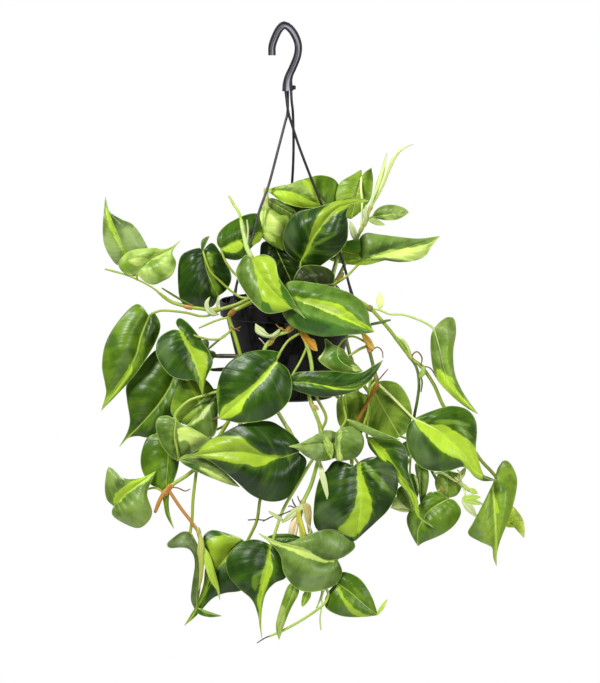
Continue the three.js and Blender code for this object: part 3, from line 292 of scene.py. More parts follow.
def show(name, mesh, materials, nodes, sharp=None):
    """Puts a mesh in the scene in place of its CAD nodes, smooth but for edges over the sharp angle"""
    for material in materials:
        mesh.materials.append(material)
    mesh.shade_smooth()
    if sharp:
        mesh.set_sharp_from_angle(angle=math.radians(sharp))
    piece = bpy.data.objects.new(name, mesh)
    scene.collection.objects.link(piece)
    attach(piece, "root")
    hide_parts(*nodes)


shoulder = POT_HEIGHT - COLLAR_HEIGHT
inside = RIM_RADIUS - WALL
pot_profile = rounded([
    (0, FLOOR_RISE), (BASE_RADIUS - 9, FLOOR_RISE), (BASE_RADIUS - 7, 0), (BASE_RADIUS - 1.5, 0),
    (BASE_RADIUS, 1.5), (BODY_TOP_RADIUS, shoulder), (RIM_RADIUS - 0.8, shoulder),
    (RIM_RADIUS, POT_HEIGHT - 1), (RIM_RADIUS - 0.5, POT_HEIGHT), (inside, POT_HEIGHT),
    (inside - 0.4, shoulder + WALL + 1.2), (BODY_TOP_RADIUS - WALL, shoulder + WALL),
    (BASE_RADIUS - WALL, FLOOR_RISE + WALL), (0, FLOOR_RISE + WALL)], 0.8)
pot_form = form_of("pot", *turned(pot_profile, POT_SIDES, (POT_X, 0, POT_BOTTOM)))
pot_blank = bpy.data.objects.new("pot_blank", set_down(pot_form, "pot_body"))
drill_points, drill_faces = [], []
for i in range(DRAINS):
    angle = 2 * math.pi * i / DRAINS
    centre = (POT_X + DRAIN_CIRCLE * math.cos(angle), DRAIN_CIRCLE * math.sin(angle), POT_BOTTOM)
    points, faces = turned([(0, 0), (DRAIN_RADIUS + 0.4, 0), (DRAIN_RADIUS, FLOOR_RISE + 0.8),
                            (DRAIN_RADIUS, DRILL_LENGTH), (0, DRILL_LENGTH)], DRAIN_SIDES, centre)
    drill_faces += [tuple(k + len(drill_points) for k in face) for face in faces]
    drill_points += points
drills = bpy.data.objects.new("drills", set_down(form_of("drills", drill_points, drill_faces), "drains"))
for blank in (pot_blank, drills):
    scene.collection.objects.link(blank)
cut = pot_blank.modifiers.new("drains", "BOOLEAN")
cut.operation, cut.object, cut.solver = "DIFFERENCE", drills, "EXACT"
pot_shape = bpy.data.meshes.new_from_object(pot_blank.evaluated_get(bpy.context.evaluated_depsgraph_get()))
for blank in (pot_blank, drills):
    bpy.data.objects.remove(blank)

gloss = Paint("black_pot_plastic", IOR=1.5, Specular_IOR_Level=0.34)
place = gloss.place()
dust = gloss.noise(place, 60, 4).step(0.45, 0.8)
scuff = gloss.noise(place, 900, 2)
gloss.finish(
    Base_Color=gloss.mix(dust * 0.2, linear(POT_BLACK), linear(POT_DUST)),
    Roughness=0.07 + dust * 0.1 + scuff * 0.04,
    Normal=gloss.bump(scuff + gloss.noise(place, 35, 2) * 2, 0.00008, 0.5))
show("pot_shell", pot_shape, [gloss.material], ["pot"], sharp=35)

# Potting mix: dark crumbly peat with bits of bark and a few white grains, poured to 13 mm under the rim.
# The stems grow up through it.
SOIL_DROP = 13
SOIL_TOP = POT_HEIGHT - SOIL_DROP
SOIL_FLOOR = FLOOR_RISE + WALL + 0.35
SOIL_SIDE = BODY_TOP_RADIUS - WALL - 1.05
MOUND = [(SOIL_SIDE, SOIL_TOP - 3.5), (SOIL_SIDE - 7, SOIL_TOP - 1.4), (SOIL_SIDE * 0.6, SOIL_TOP),
         (SOIL_SIDE * 0.3, SOIL_TOP - 0.6), (0, SOIL_TOP)]
SOIL_RINGS, SOIL_SIDES = 46, 120
GRAINS, GRAIN_LEAST, GRAIN_MOST = 520, 0.9, 2.4
WHITE_GRAINS = 0.06
PEAT_COLOURS = {"dark": (44, 30, 22), "light": (96, 70, 50), "clod": (30, 22, 18), "bark": (120, 84, 52),
                "white": (214, 208, 196)}
rng = np.random.default_rng(7)


def mound_height(reach):
    """Height of the plain mound at a distance from its middle"""
    return np.interp(reach, [r for r, z in MOUND[::-1]], [z for r, z in MOUND[::-1]])


def lump(reach, angle):
    """Height of the uneven surface above the plain mound"""
    x, y = reach * np.cos(angle), reach * np.sin(angle)
    fine = np.sin(x * 0.9 + 1.3 * np.sin(y * 0.7)) * np.sin(y * 0.8 + 1.1 * np.sin(x * 0.6))
    return 0.8 * fine + 0.5 * np.sin(x * 0.31 + 2) * np.sin(y * 0.27) + 0.35 * np.sin(x * 2.3 + y * 1.7)


reaches = np.linspace(SOIL_SIDE, 1, SOIL_RINGS)
bed = [(0, SOIL_FLOOR), (BASE_RADIUS - WALL - 1.2, SOIL_FLOOR)]
soil_profile = bed + list(zip(reaches, mound_height(reaches))) + [(0, SOIL_TOP)]
soil_points, soil_faces = turned(soil_profile, SOIL_SIDES, (POT_X, 0, POT_BOTTOM))
soil_points = np.array(soil_points)
reach = np.hypot(soil_points[:, 0] - POT_X, soil_points[:, 1])
angle = np.arctan2(soil_points[:, 1], soil_points[:, 0] - POT_X)
upper = soil_points[:, 2] > POT_BOTTOM + SOIL_TOP - 12
fade = np.minimum(1, (SOIL_SIDE + 2 - reach) / 6)
soil_points[:, 2] += np.where(upper, lump(reach, angle) * fade - 0.8, 0)
soil_points, pale_grain = list(map(tuple, soil_points)), [0.0] * len(soil_points)
grain_form = bmesh.new()
bmesh.ops.create_icosphere(grain_form, subdivisions=2, radius=1)
ball = np.array([v.co for v in grain_form.verts])
ball_faces = [tuple(v.index for v in f.verts) for f in grain_form.faces]
for i in range(GRAINS):
    reach, angle = SOIL_SIDE * math.sqrt(rng.random()) * 0.96, rng.random() * 2 * math.pi
    size = rng.uniform(GRAIN_LEAST, GRAIN_MOST)
    size = size * np.array([1, rng.uniform(0.5, 0.9), rng.uniform(0.35, 0.7)])
    turn, dents = rng.random() * 2 * math.pi, rng.normal(size=(3, 3))
    grain = ball * (1 + 0.16 * np.sin(ball @ dents.T * 2.2).sum(1))[:, None] * size
    x = grain[:, 0] * math.cos(turn) - grain[:, 1] * math.sin(turn)
    y = grain[:, 0] * math.sin(turn) + grain[:, 1] * math.cos(turn)
    centre = (POT_X + reach * math.cos(angle), reach * math.sin(angle),
              POT_BOTTOM + mound_height(reach) + float(lump(reach, angle)) - 0.9 + size[2] * 0.25)
    soil_faces += [tuple(k + len(soil_points) for k in face) for face in ball_faces]
    soil_points += [(centre[0] + a, centre[1] + b, centre[2] + c) for a, b, c in zip(x, y, grain[:, 2])]
    pale_grain += [1.0 if rng.random() < WHITE_GRAINS else 0.35 * rng.random()] * len(ball)
soil_mesh = mesh_of("potting_mix", soil_points, soil_faces)
soil_mesh.attributes.new("pale", "FLOAT", "POINT").data.foreach_set("value", pale_grain)

peat_tint = {name: linear(colour) for name, colour in PEAT_COLOURS.items()}
peat = Paint("peat_mix", Specular_IOR_Level=0.3)
place = peat.place()
crumb = peat.noise(place, 420, 6, 0.65)
clod = peat.noise(place, 90, 3)
pale = peat.mark("pale")
earth = peat.mix(crumb.step(0.35, 0.7), peat_tint["dark"], peat_tint["light"])
earth = peat.mix(clod.step(0.4, 0.65) * 0.5, earth, peat_tint["clod"])
earth = peat.mix(pale.step(0.1, 0.35) * 0.5, earth, peat_tint["bark"])
peat.finish(
    Base_Color=peat.mix(pale.step(0.5, 0.8), earth, peat_tint["white"]),
    Roughness=0.82 + crumb * 0.15,
    Normal=peat.bump(crumb, 0.0012, 0.9))
show("potting_mix", soil_mesh, [peat.material], ["soil"])

# Hook: a moulded charcoal strip with a raised rib along both edges and a web between them. It swells at the
# bottom into a solid foot, where the three rods plug in, with a small nub left by the mould on its right.
# The flat web is painted light grey: a painted sheen, where its flat faces catch the light.
HOOK_LINE = ("272,55.5 272.2,46 275,37.5 279,29.5 283.5,25.3 288,26.5 293,32 297,40 298.4,48 297,57 "
             "293,67 289,76 287.6,84 287.9,90.6")
HOOK_WIDTH, HOOK_DEPTH, HOOK_RIB, HOOK_WEB = 8, 7, 2.5, 2.4
FOOT_WIDTH, FOOT_DEPTH = 12.4, 11.4
HOOK_RINGS = 150
FOOT_START = 0.82
NUB_SIZE, NUB_ROUNDING = (5, 3.8, 4.6), 1.2
# Colours of the strip: charcoal, the light grey of the painted sheen on the flat web, and worn grey.
CHARCOAL, WEB_SHEEN_GREY, WORN_GREY = (28, 28, 32), (150, 150, 160), (84, 84, 92)


def points_of(text, depth=None):
    """Points from a text with commas inside a point and spaces between points"""
    points = [[float(number) for number in point.split(",")] for point in text.split()]
    return np.array([point + [depth] for point in points] if depth is not None else points)


def curve(row, steps):
    """Points of a smooth curve through the points of a row, without its first and last"""
    s = np.linspace(0, 1, steps, endpoint=False)[:, None]
    return np.vstack([
        0.5 * (2 * b + (c - a) * s + (2 * a - 5 * b + 4 * c - d) * s ** 2
               + (3 * b - a - 3 * c + d) * s ** 3)
        for a, b, c, d in zip(row, row[1:], row[2:], row[3:])])


def smooth_line(points, shares, reach=1.0):
    """Points of a smooth curve at the given shares of its length, or at that many even steps"""
    if np.isscalar(shares):
        shares = np.linspace(0, 1, shares)
    ends = [points[0] + reach * (points[0] - points[1]), points[-1] + reach * (points[-1] - points[-2])]
    dense = np.vstack([curve(np.vstack([ends[0], points, ends[1]]), 24), points[-1:]])
    length = np.concatenate([[0], np.cumsum(np.linalg.norm(np.diff(dense, axis=0), axis=1))])
    places = np.asarray(shares) * length[-1]
    return np.column_stack([np.interp(places, length, column) for column in dense.T])


half, deep, web = HOOK_WIDTH / 2, HOOK_DEPTH / 2, HOOK_WEB / 2
edge = half - HOOK_RIB
quarter = rounded([(0, web), (edge, web), (edge, deep), (half, deep), (half, 0)], 0.55, 5)
section = np.array(quarter + [(x, -z) for x, z in quarter[::-1][1:]])
section = np.vstack([section, section[::-1][1:-1] * (-1, 1)])
path = smooth_line(seen(points_of(HOOK_LINE, 0)), HOOK_RINGS)
ahead = np.gradient(path, axis=0)
ahead /= np.linalg.norm(ahead, axis=1)[:, None]
hook_points, hook_faces = [], []
path[0] = path[0] + (path[1] - path[0]) * 0.4
flare = np.clip((np.arange(HOOK_RINGS) / (HOOK_RINGS - 1) - FOOT_START) / (1 - FOOT_START), 0, 1) ** 1.4
for ring, (centre, way, wide) in enumerate(zip(path, ahead, flare)):
    side = np.array([way[2], 0, -way[0]])
    inset = {0: 0.86, HOOK_RINGS - 1: 0.94}.get(ring, 1)
    for across, depth in section:
        if abs(depth) < web + 0.3 and abs(across) < edge:
            depth *= 1 + wide * (deep - 0.7 - web) / web
        across *= 1 + wide * (FOOT_WIDTH / HOOK_WIDTH - 1)
        depth *= 1 + wide * (FOOT_DEPTH / HOOK_DEPTH - 1)
        hook_points.append(centre + side * across * inset + np.array([0, depth * inset, 0]))
count = len(section)
for ring in range(len(path) - 1):
    for i in range(count):
        j = (i + 1) % count
        low, high = ring * count, (ring + 1) * count
        hook_faces.append((low + i, low + j, high + j, high + i))
hook_faces += [tuple(range(count))[::-1], tuple(range(len(hook_points) - count, len(hook_points)))]
hub = seen([287.9, 88, 0])
form = form_of("hook", hook_points, hook_faces)
nub = bmesh.ops.create_cube(form, size=1)["verts"]
bmesh.ops.scale(form, verts=nub, vec=Vector(NUB_SIZE) * MM)
bmesh.ops.translate(form, verts=nub, vec=Vector((hub[0] + FOOT_WIDTH / 2 - 0.2, 0, hub[2] + 0.6)) * MM)
bmesh.ops.bevel(form, geom=list({e for v in nub for e in v.link_edges}), offset=NUB_ROUNDING * MM,
                segments=4, profile=0.5, affect="EDGES")
hook_mesh = set_down(form, "hook")
# Marks the points of the flat web, where the painted sheen goes.
web_points = np.zeros(len(hook_mesh.vertices))
flat_web = (np.abs(section[:, 0]) < edge - 0.1) & (np.abs(section[:, 1]) < deep - 1)
web_points[:len(path) * count] = np.tile(flat_web, len(path))
hook_mesh.attributes.new("web", "FLOAT", "POINT").data.foreach_set("value", web_points)

matt = Paint("charcoal_plastic")
place = matt.place()
grain = matt.noise(place, 1500, 3)
worn = matt.noise(place, 110, 4).step(0.5, 0.75)
# The flat web gets a painted sheen: a light grey over the charcoal.
web_sheen = matt.mark("web").step(0.3, 0.9)
plain = matt.mix(web_sheen, linear(CHARCOAL), linear(WEB_SHEEN_GREY))
matt.finish(
    Base_Color=matt.mix(worn * 0.3, plain, linear(WORN_GREY)),
    Roughness=0.32 + grain * 0.16,
    Normal=matt.bump(grain, 0.00008, 0.6))
show("hook_strip", hook_mesh, [matt.material], ["hook"], sharp=50)

# Hanger rods: three thin charcoal rods, moulded round. Each plugs into the foot of the hook and ends in a
# clip that straddles the rim of the pot.
ROD_RADIUS, ROD_RINGS, ROD_SIDES = 1.4, 110, 16
CLIP_WIDTH, CLIP_LEG, CLIP_ROUNDING = 8, 2.2, 0.45
ROD_LINES = {
    "left": "288,86,1.5 287.8,100,1.5 287.5,113,1 285,123,-2 278,150,-10 269,184,-18 261,206,-24 "
            "255,226,-29 251.5,240,-32 243,264,-38 237,283,-42",
    "right": "285,86,-2.8 286.2,96,-3.2 288.5,113,-4.4 293,128,-5.8 300,149,-8 311,178,-12 "
             "319,198,-15 330,227,-19 341.7,258,-23 349.5,286,-26.6",
    "back": "291,86,1.5 291.6,100,1.8 293,115,3.5 293.5,150,18 292,184,33 288,230,52 282.4,276,69",
}
CLIP_AZIMUTHS = {"left": 217, "right": -23, "back": 97}


def bar_shape(path, radii, sides):
    """Round bar along a path, with a radius at each of its points and rounded ends"""
    ahead = np.gradient(path, axis=0)
    ahead /= np.linalg.norm(ahead, axis=1)[:, None]
    side = np.cross(ahead[0], (0.31, 0.52, 0.79))
    angles = np.arange(sides) * 2 * math.pi / sides
    cos, sin = np.cos(angles)[:, None], np.sin(angles)[:, None]
    rings = []
    for centre, way, radius in zip(path, ahead, radii):
        side = side - way * side.dot(way)
        side /= np.linalg.norm(side)
        rings.append(centre + radius * (cos * side + sin * np.cross(way, side)))
    first, last = path[0] - ahead[0] * radii[0] * 0.5, path[-1] + ahead[-1] * radii[-1] * 0.5
    points = np.vstack([first] + rings + [last])
    faces = []
    for ring in range(len(path) - 1):
        for i in range(sides):
            low, high = 1 + ring * sides, 1 + (ring + 1) * sides
            j = (i + 1) % sides
            faces.append((low + i, low + j, high + j, high + i))
    top = 1 + (len(path) - 1) * sides
    for i in range(sides):
        j = (i + 1) % sides
        faces.append((0, 1 + j, 1 + i))
        faces.append((len(points) - 1, top + i, top + j))
    return points, faces


gap_in, gap_out = RIM_RADIUS - WALL - 0.9, RIM_RADIUS + 0.4
clip_in, clip_out = gap_in - CLIP_LEG, gap_out + CLIP_LEG
clip_outline = [
    (clip_in, -9), (gap_in, -9), (gap_in, 0.35), (gap_out, 0.35), (gap_out, -8), (clip_out, -8),
    (clip_out, 2.6), (gap_in + 3, 5.5), (gap_in + 1, 5.5), (clip_in, 2.6)]
for side, text in ROD_LINES.items():
    azimuth = math.radians(CLIP_AZIMUTHS[side])
    outward = np.array([math.cos(azimuth), math.sin(azimuth), 0])
    foot = np.array([POT_X, 0, RIM_TOP + 3]) + outward * (gap_in + 2)
    line = seen(points_of(text))
    line[0, 2] -= 0.35
    path = smooth_line(np.vstack([line, foot]), ROD_RINGS)
    radii = np.full(len(path), float(ROD_RADIUS))
    radii[:2] = (0.9, 1.25)
    radii[-9:] += np.linspace(0, 0.9, 9)
    form = bmesh.new()
    form.from_mesh(mesh_of("rod", *bar_shape(path, radii, ROD_SIDES)))
    corners = []
    for end in (-0.5, 0.5):
        tangent = np.array([-outward[1], outward[0], 0]) * CLIP_WIDTH * end
        corners.append([form.verts.new((np.array([POT_X, 0, RIM_TOP + z]) + outward * r + tangent) * MM)
                        for r, z in clip_outline])
    clip_faces = [form.faces.new(corners[0]), form.faces.new(corners[1][::-1])]
    for i in range(len(clip_outline)):
        j = (i + 1) % len(clip_outline)
        clip_faces.append(form.faces.new((corners[0][j], corners[0][i], corners[1][i], corners[1][j])))
    bmesh.ops.recalc_face_normals(form, faces=form.faces)
    bmesh.ops.bevel(form, geom=list({e for f in clip_faces for e in f.edges}), offset=CLIP_ROUNDING * MM,
                    segments=3, profile=0.5, affect="EDGES")
    show(f"rod_{side}", set_down(form, "rod"), [matt.material], [f"hanger_rod_{side}"],
         sharp=40)

# The soft grey-green patches drawn on many blades are partly a painted sheen.
# Leafy stems: heart-shaped leaves on long round stalks, grown from nodes of limp trailing stems. The
# blades are thin and waxy, dark to mid green, with a feathered lime patch along or beside the midrib.
# A stem and all that grows on it is one piece, rooted in the potting mix.
# A blade's thickness, its camber as a share of its width, its bow as a share of its length, and the height
# of the ripples along it and of the swellings between its side veins
BLADE = 0.8
CAMBER, SHOOT_CAMBER, BOW = 0.24, 0.2, 0.09
RIPPLE, RIPPLES, QUILT = 1.4, 2.2, 0.2
SIDE_VEINS, VEIN_SWEEP = 8, 1.1
# Rows and columns of a blade's mesh, with their sizes in picture points
ROW_HEIGHT, ROWS_LEAST, ROWS_MOST = 1.4, 12, 56
COLUMN_WIDTH, COLUMNS_LEAST, COLUMNS_MOST, SHOOT_COLUMNS, THINNEST_COLUMN = 3.5, 6, 20, 4, 0.7
STALK_RADIUS, STALK_SIDES, STALK_STEP, SUNK_STALK = 1.3, 8, 1.5, 0.35
STEM_SIDES, STEM_STEP = 12, 1.6
# Where a stalk meets a stem: how near it has to be, and the length and height of the swelling
JOINT_REACH, JOINT_LENGTH, JOINT_SWELLING, THINNEST_JOINTED = 4, 2.6, 0.28, 1.4
ROOT_DEPTH = 12
SOIL_LEVEL = RIM_TOP - SOIL_DROP
LEAF_SKIN, STEM_SKIN = 0, 1
# Main colour of a blade, stem, root or dried sheath
LEAF_TONES = {
    "deep": (34, 66, 4), "dark": (30, 52, 4), "forest": (48, 84, 6), "green": (62, 98, 10),
    "meadow": (98, 132, 24), "fresh": (98, 142, 26), "pasture": (128, 158, 44), "light": (132, 170, 44),
    "sage": (114, 142, 64), "silver": (142, 166, 88), "soft": (156, 184, 78), "mellow": (172, 200, 100),
    "pale": (190, 214, 124), "blanched": (232, 244, 160), "ash": (108, 124, 78),
    "olive": (122, 150, 44), "moss": (88, 112, 38), "umber": (50, 62, 22),
    # The brightest lime is lighter than a blade's own colour: painted light, for a small leaf in the shade
    # of the leaf in front of it.
    "lime": (176, 206, 62), "neon": (234, 252, 84), "cream": (190, 200, 146), "tan": (178, 148, 92),
    "orange": (196, 130, 66), "amber": (188, 128, 58), "husk": (172, 176, 84),
    "cord": (150, 172, 54), "stick": (42, 35, 24), "root": (122, 72, 42), "white": (206, 208, 190),
    "shoot": (172, 200, 84), "sun": (198, 200, 54), "blush": (232, 208, 172), "bark": (152, 118, 66),
    "jade": (100, 136, 50), "lichen": (128, 154, 72), "rust": (146, 94, 28), "horn": (226, 178, 58),
    "fern": (80, 114, 18), "ochre": (214, 142, 26),
}
# Colour of a drawn patch, how much of it covers the leaf, and the softness of its edge in picture points.
# The soft grey-green patches are partly the blade's own sage marbling and partly a painted sheen, where the
# glossy blade catches the lamps.
PATCHES = {
    "green": ((62, 112, 22), 0.85, 0.9), "olive": ((112, 148, 34), 0.8, 1.5),
    "shade": ((30, 54, 12), 0.7, 3.0), "grey_sheen": ((140, 164, 112), 0.22, 4.0),
    "tan": ((150, 120, 70), 0.7, 1.0), "lime": ((162, 194, 46), 1.0, 0.8),
    "pale": ((190, 212, 108), 0.9, 1.0),
}
FAR = 12
# Tones of young or dry blades, which have fainter veins and streaks
YOUNG = ("cream", "pale", "blanched", "shoot", "lime", "husk", "tan", "amber", "orange", "blush", "bark",
         "horn", "ochre")
LEAF_TINTS = {
    "full_grown": (168, 186, 118), "light_streak": (120, 156, 34), "dark_streak": (28, 58, 10),
    "beside_lime": (100, 140, 30), "vein": (168, 196, 90), "vein_in_lime": (126, 164, 36),
    "midrib": (180, 204, 92), "margin": (164, 190, 104), "underside": (124, 156, 72),
}
STEM_TINTS = {"line": (78, 104, 34), "blotch": (156, 124, 56), "fleck": (212, 218, 140),
              "joint": (176, 132, 58)}
# What the points of a mesh carry. On a leaf: the way across and along it, its size, the distance from its
# margin, from its midrib and into each patch, which face it is, and the leaf's seed, brightness and youth.
# The brightness sets how light the patches are painted, and it partly stands in for how much light falls on
# the leaf: painted light.
LEAF_MARKS = ["across", "along", "reach", "margin", "midrib", "upper", "seed", "bright", "young", *PATCHES]
STEM_MARKS = ["across", "along", "joint"]
MARKS = LEAF_MARKS + ["joint"]
# Half outlines of plain leaves, as shares of their length and width
HEART_HALF = [(-0.1, 0.3), (-0.13, 0.66), (0.02, 0.95), (0.25, 1), (0.5, 0.78), (0.72, 0.42), (0.88, 0.14)]
SPINDLE_HALF = [(0.12, 0.6), (0.45, 1), (0.8, 0.6)]

leaf_tint = {name: linear(colour) for name, colour in LEAF_TINTS.items()}
leaf_paint = Paint("waxy_leaf", IOR=1.45, Specular_IOR_Level=0.36)
mark = {name: leaf_paint.mark(name) for name in LEAF_MARKS}
tone = leaf_paint.mark("tone", "Color")
place = leaf_paint.place()


def streaks(across, along, seed):
    """Noise drawn out from the midrib to the margin, as the side veins run"""
    swept = mark["along"] - abs(mark["across"]) ** 1.5 * 0.12
    vector = leaf_paint.node("ShaderNodeCombineXYZ", {}, {
        "X": mark["across"] * across, "Y": swept * mark["reach"] * along, "Z": mark["seed"] * seed})
    return leaf_paint.noise(vector, 1, 3) - 0.5


broad, thin = streaks(1.2, 13, 37), streaks(1.6, 42, 53)
cloud = leaf_paint.noise(place, 42, 3)
speck = leaf_paint.noise(place, 620, 3)
away = abs(mark["across"])
turns = mark["along"] * SIDE_VEINS - away ** 1.5 * VEIN_SWEEP + mark["seed"] + broad * 0.5
wave = abs((turns * math.pi).sine())
vein = wave.step(0, 0.3, 1, 0) * away.step(0.02, 0.15) * away.step(0.55, 0.95, 1, 0)
midrib = mark["midrib"].step(0.1, 0.7, 1, 0)
# The pale margin is partly the blade's own paler edge and partly a painted rim highlight, where the edge
# catches the light.
margin = mark["margin"].step(0.2, 0.8, 1, 0)
grown = 1 - mark["young"] * 0.85
deeper = leaf_paint.mix(grown, tone, leaf_paint.mix(1.0, tone, leaf_tint["full_grown"], "MULTIPLY"))
flesh = leaf_paint.mix(cloud.step(0.35, 0.62), deeper, tone)
flesh = leaf_paint.mix(broad.step(-0.02, 0.28) * grown * 0.22, flesh, leaf_tint["light_streak"])
flesh = leaf_paint.mix(thin.step(0, 0.3) * grown * 0.15, flesh, leaf_tint["dark_streak"])
flesh = leaf_paint.mix((mark["lime"] + broad * 12).step(-5, 0.5) * 0.35, flesh, leaf_tint["beside_lime"])
# Each drawn patch is painted over the blade; the soft grey-green ones are partly a painted sheen.
for kind, (colour, share, soft) in PATCHES.items():
    drawn = (mark[kind] + broad * (2.4 + 2 * soft) + thin * 1.6).step(-soft, soft)
    dull, clear = linear([c * 0.78 for c in colour]), linear([min(250, c * 1.14) for c in colour])
    # The patch colour is painted in a darker and a lighter copy. The leaf's brightness, which partly stands
    # in for the light falling on it, and cloudy noise pick between them.
    dye = leaf_paint.mix(mark["bright"] * 0.65 + cloud.step(0.3, 0.7) * 0.35, dull, clear)
    flesh = leaf_paint.mix(drawn * share, flesh, dye)
flesh = leaf_paint.mix(vein * mark["lime"].step(0, 1, 0.04, 0), flesh, leaf_tint["vein"])
flesh = leaf_paint.mix(vein * mark["lime"].step(0, 1) * 0.16, flesh, leaf_tint["vein_in_lime"])
flesh = leaf_paint.mix(midrib * (1 - mark["young"] * 0.5) * 0.8, flesh, leaf_tint["midrib"])
# Pale margin, partly a painted rim highlight.
flesh = leaf_paint.mix(margin * 0.55, flesh, leaf_tint["margin"])
under = leaf_paint.mix(0.35, flesh, leaf_tint["underside"])
height = (wave * 0.4 + midrib * -0.15 + cloud * 1.2 + broad * 1.1 + thin * 0.5) * (1 - mark["young"] * 0.85)
leaf_paint.finish(
    Base_Color=leaf_paint.mix(mark["upper"], under, flesh),
    Roughness=mark["upper"].step(0, 1, 0.48, 0.29) + speck * 0.14,
    Normal=leaf_paint.bump(speck, 0.00012, 0.5, leaf_paint.bump(height, 0.001, 0.65)))

stem_tint = {name: linear(colour) for name, colour in STEM_TINTS.items()}
stem_paint = Paint("limp_stem", IOR=1.45)
stem_tone = stem_paint.mark("tone", "Color")
across, along, joint = [stem_paint.mark(name) for name in STEM_MARKS]
place = stem_paint.place()
line_vector = stem_paint.node("ShaderNodeCombineXYZ", {}, {"X": along * 0.05, "Y": across * 9})
lines = stem_paint.noise(line_vector, 1, 3)
blotch = stem_paint.noise(place, 160, 4)
fleck = stem_paint.noise(place, 1400, 2)
skin = stem_paint.mix(lines.step(0.35, 0.7) * 0.3, stem_tone, stem_tint["line"])
skin = stem_paint.mix(blotch.step(0.5, 0.75) * 0.3, skin, stem_tint["blotch"])
skin = stem_paint.mix(fleck.step(0.62, 0.8) * 0.25, skin, stem_tint["fleck"])
skin = stem_paint.mix(joint * blotch.step(0.3, 0.6, 0.1, 0.5), skin, stem_tint["joint"])
stem_paint.finish(
    Base_Color=skin,
    Roughness=0.3 + blotch * 0.12 + joint * 0.25,
    Normal=stem_paint.bump(lines + fleck * 0.3, 0.0004, 0.6))


def half_outlines(leaf):
    """Picture points of both edges of a blade: drawn, or a plain heart or spindle"""
    if "left" in leaf:
        return [points_of(leaf["left"]), points_of(leaf["right"])]
    base, tip = points_of(leaf["base"])[0, :2], points_of(leaf["tip"])[0, :2]
    axis = tip - base
    across = np.array([-axis[1], axis[0]]) / np.linalg.norm(axis)
    half = HEART_HALF if "heart" in leaf else SPINDLE_HALF
    width = leaf.get("heart") or leaf["spindle"]
    return [np.array([base + a * axis + sign * w * width * across for a, w in half]) for sign in (1, -1)]


def inside_depth(flat, outline):
    """Picture distance of points from a closed outline, positive inside it"""
    ring = np.vstack([outline, outline[:1]])
    best, inner = np.full(len(flat), 1e9), np.zeros(len(flat), bool)
    for a, b in zip(ring, ring[1:]):
        side = b - a
        share = np.clip(((flat - a) @ side) / max(side @ side, 1e-9), 0, 1)
        best = np.minimum(best, np.linalg.norm(flat - a - share[:, None] * side, axis=1))
        crossing = (a[1] > flat[:, 1]) != (b[1] > flat[:, 1])
        with np.errstate(divide="ignore", invalid="ignore"):
            inner ^= crossing & (flat[:, 0] < (b[0] - a[0]) * (flat[:, 1] - a[1]) / (b[1] - a[1]) + a[0])
    return np.where(inner, best, -best)


def patch(flat, texts):
    """Greatest depth of points inside any of the drawn patches of a leaf"""
    depth = np.full(len(flat), -float(FAR))
    for text in texts:
        corners = points_of(text)
        outline = curve(np.vstack([corners[-1], corners, corners[:2]]), 8)
        depth = np.maximum(depth, inside_depth(flat, outline))
    return np.clip(depth, -FAR, FAR)


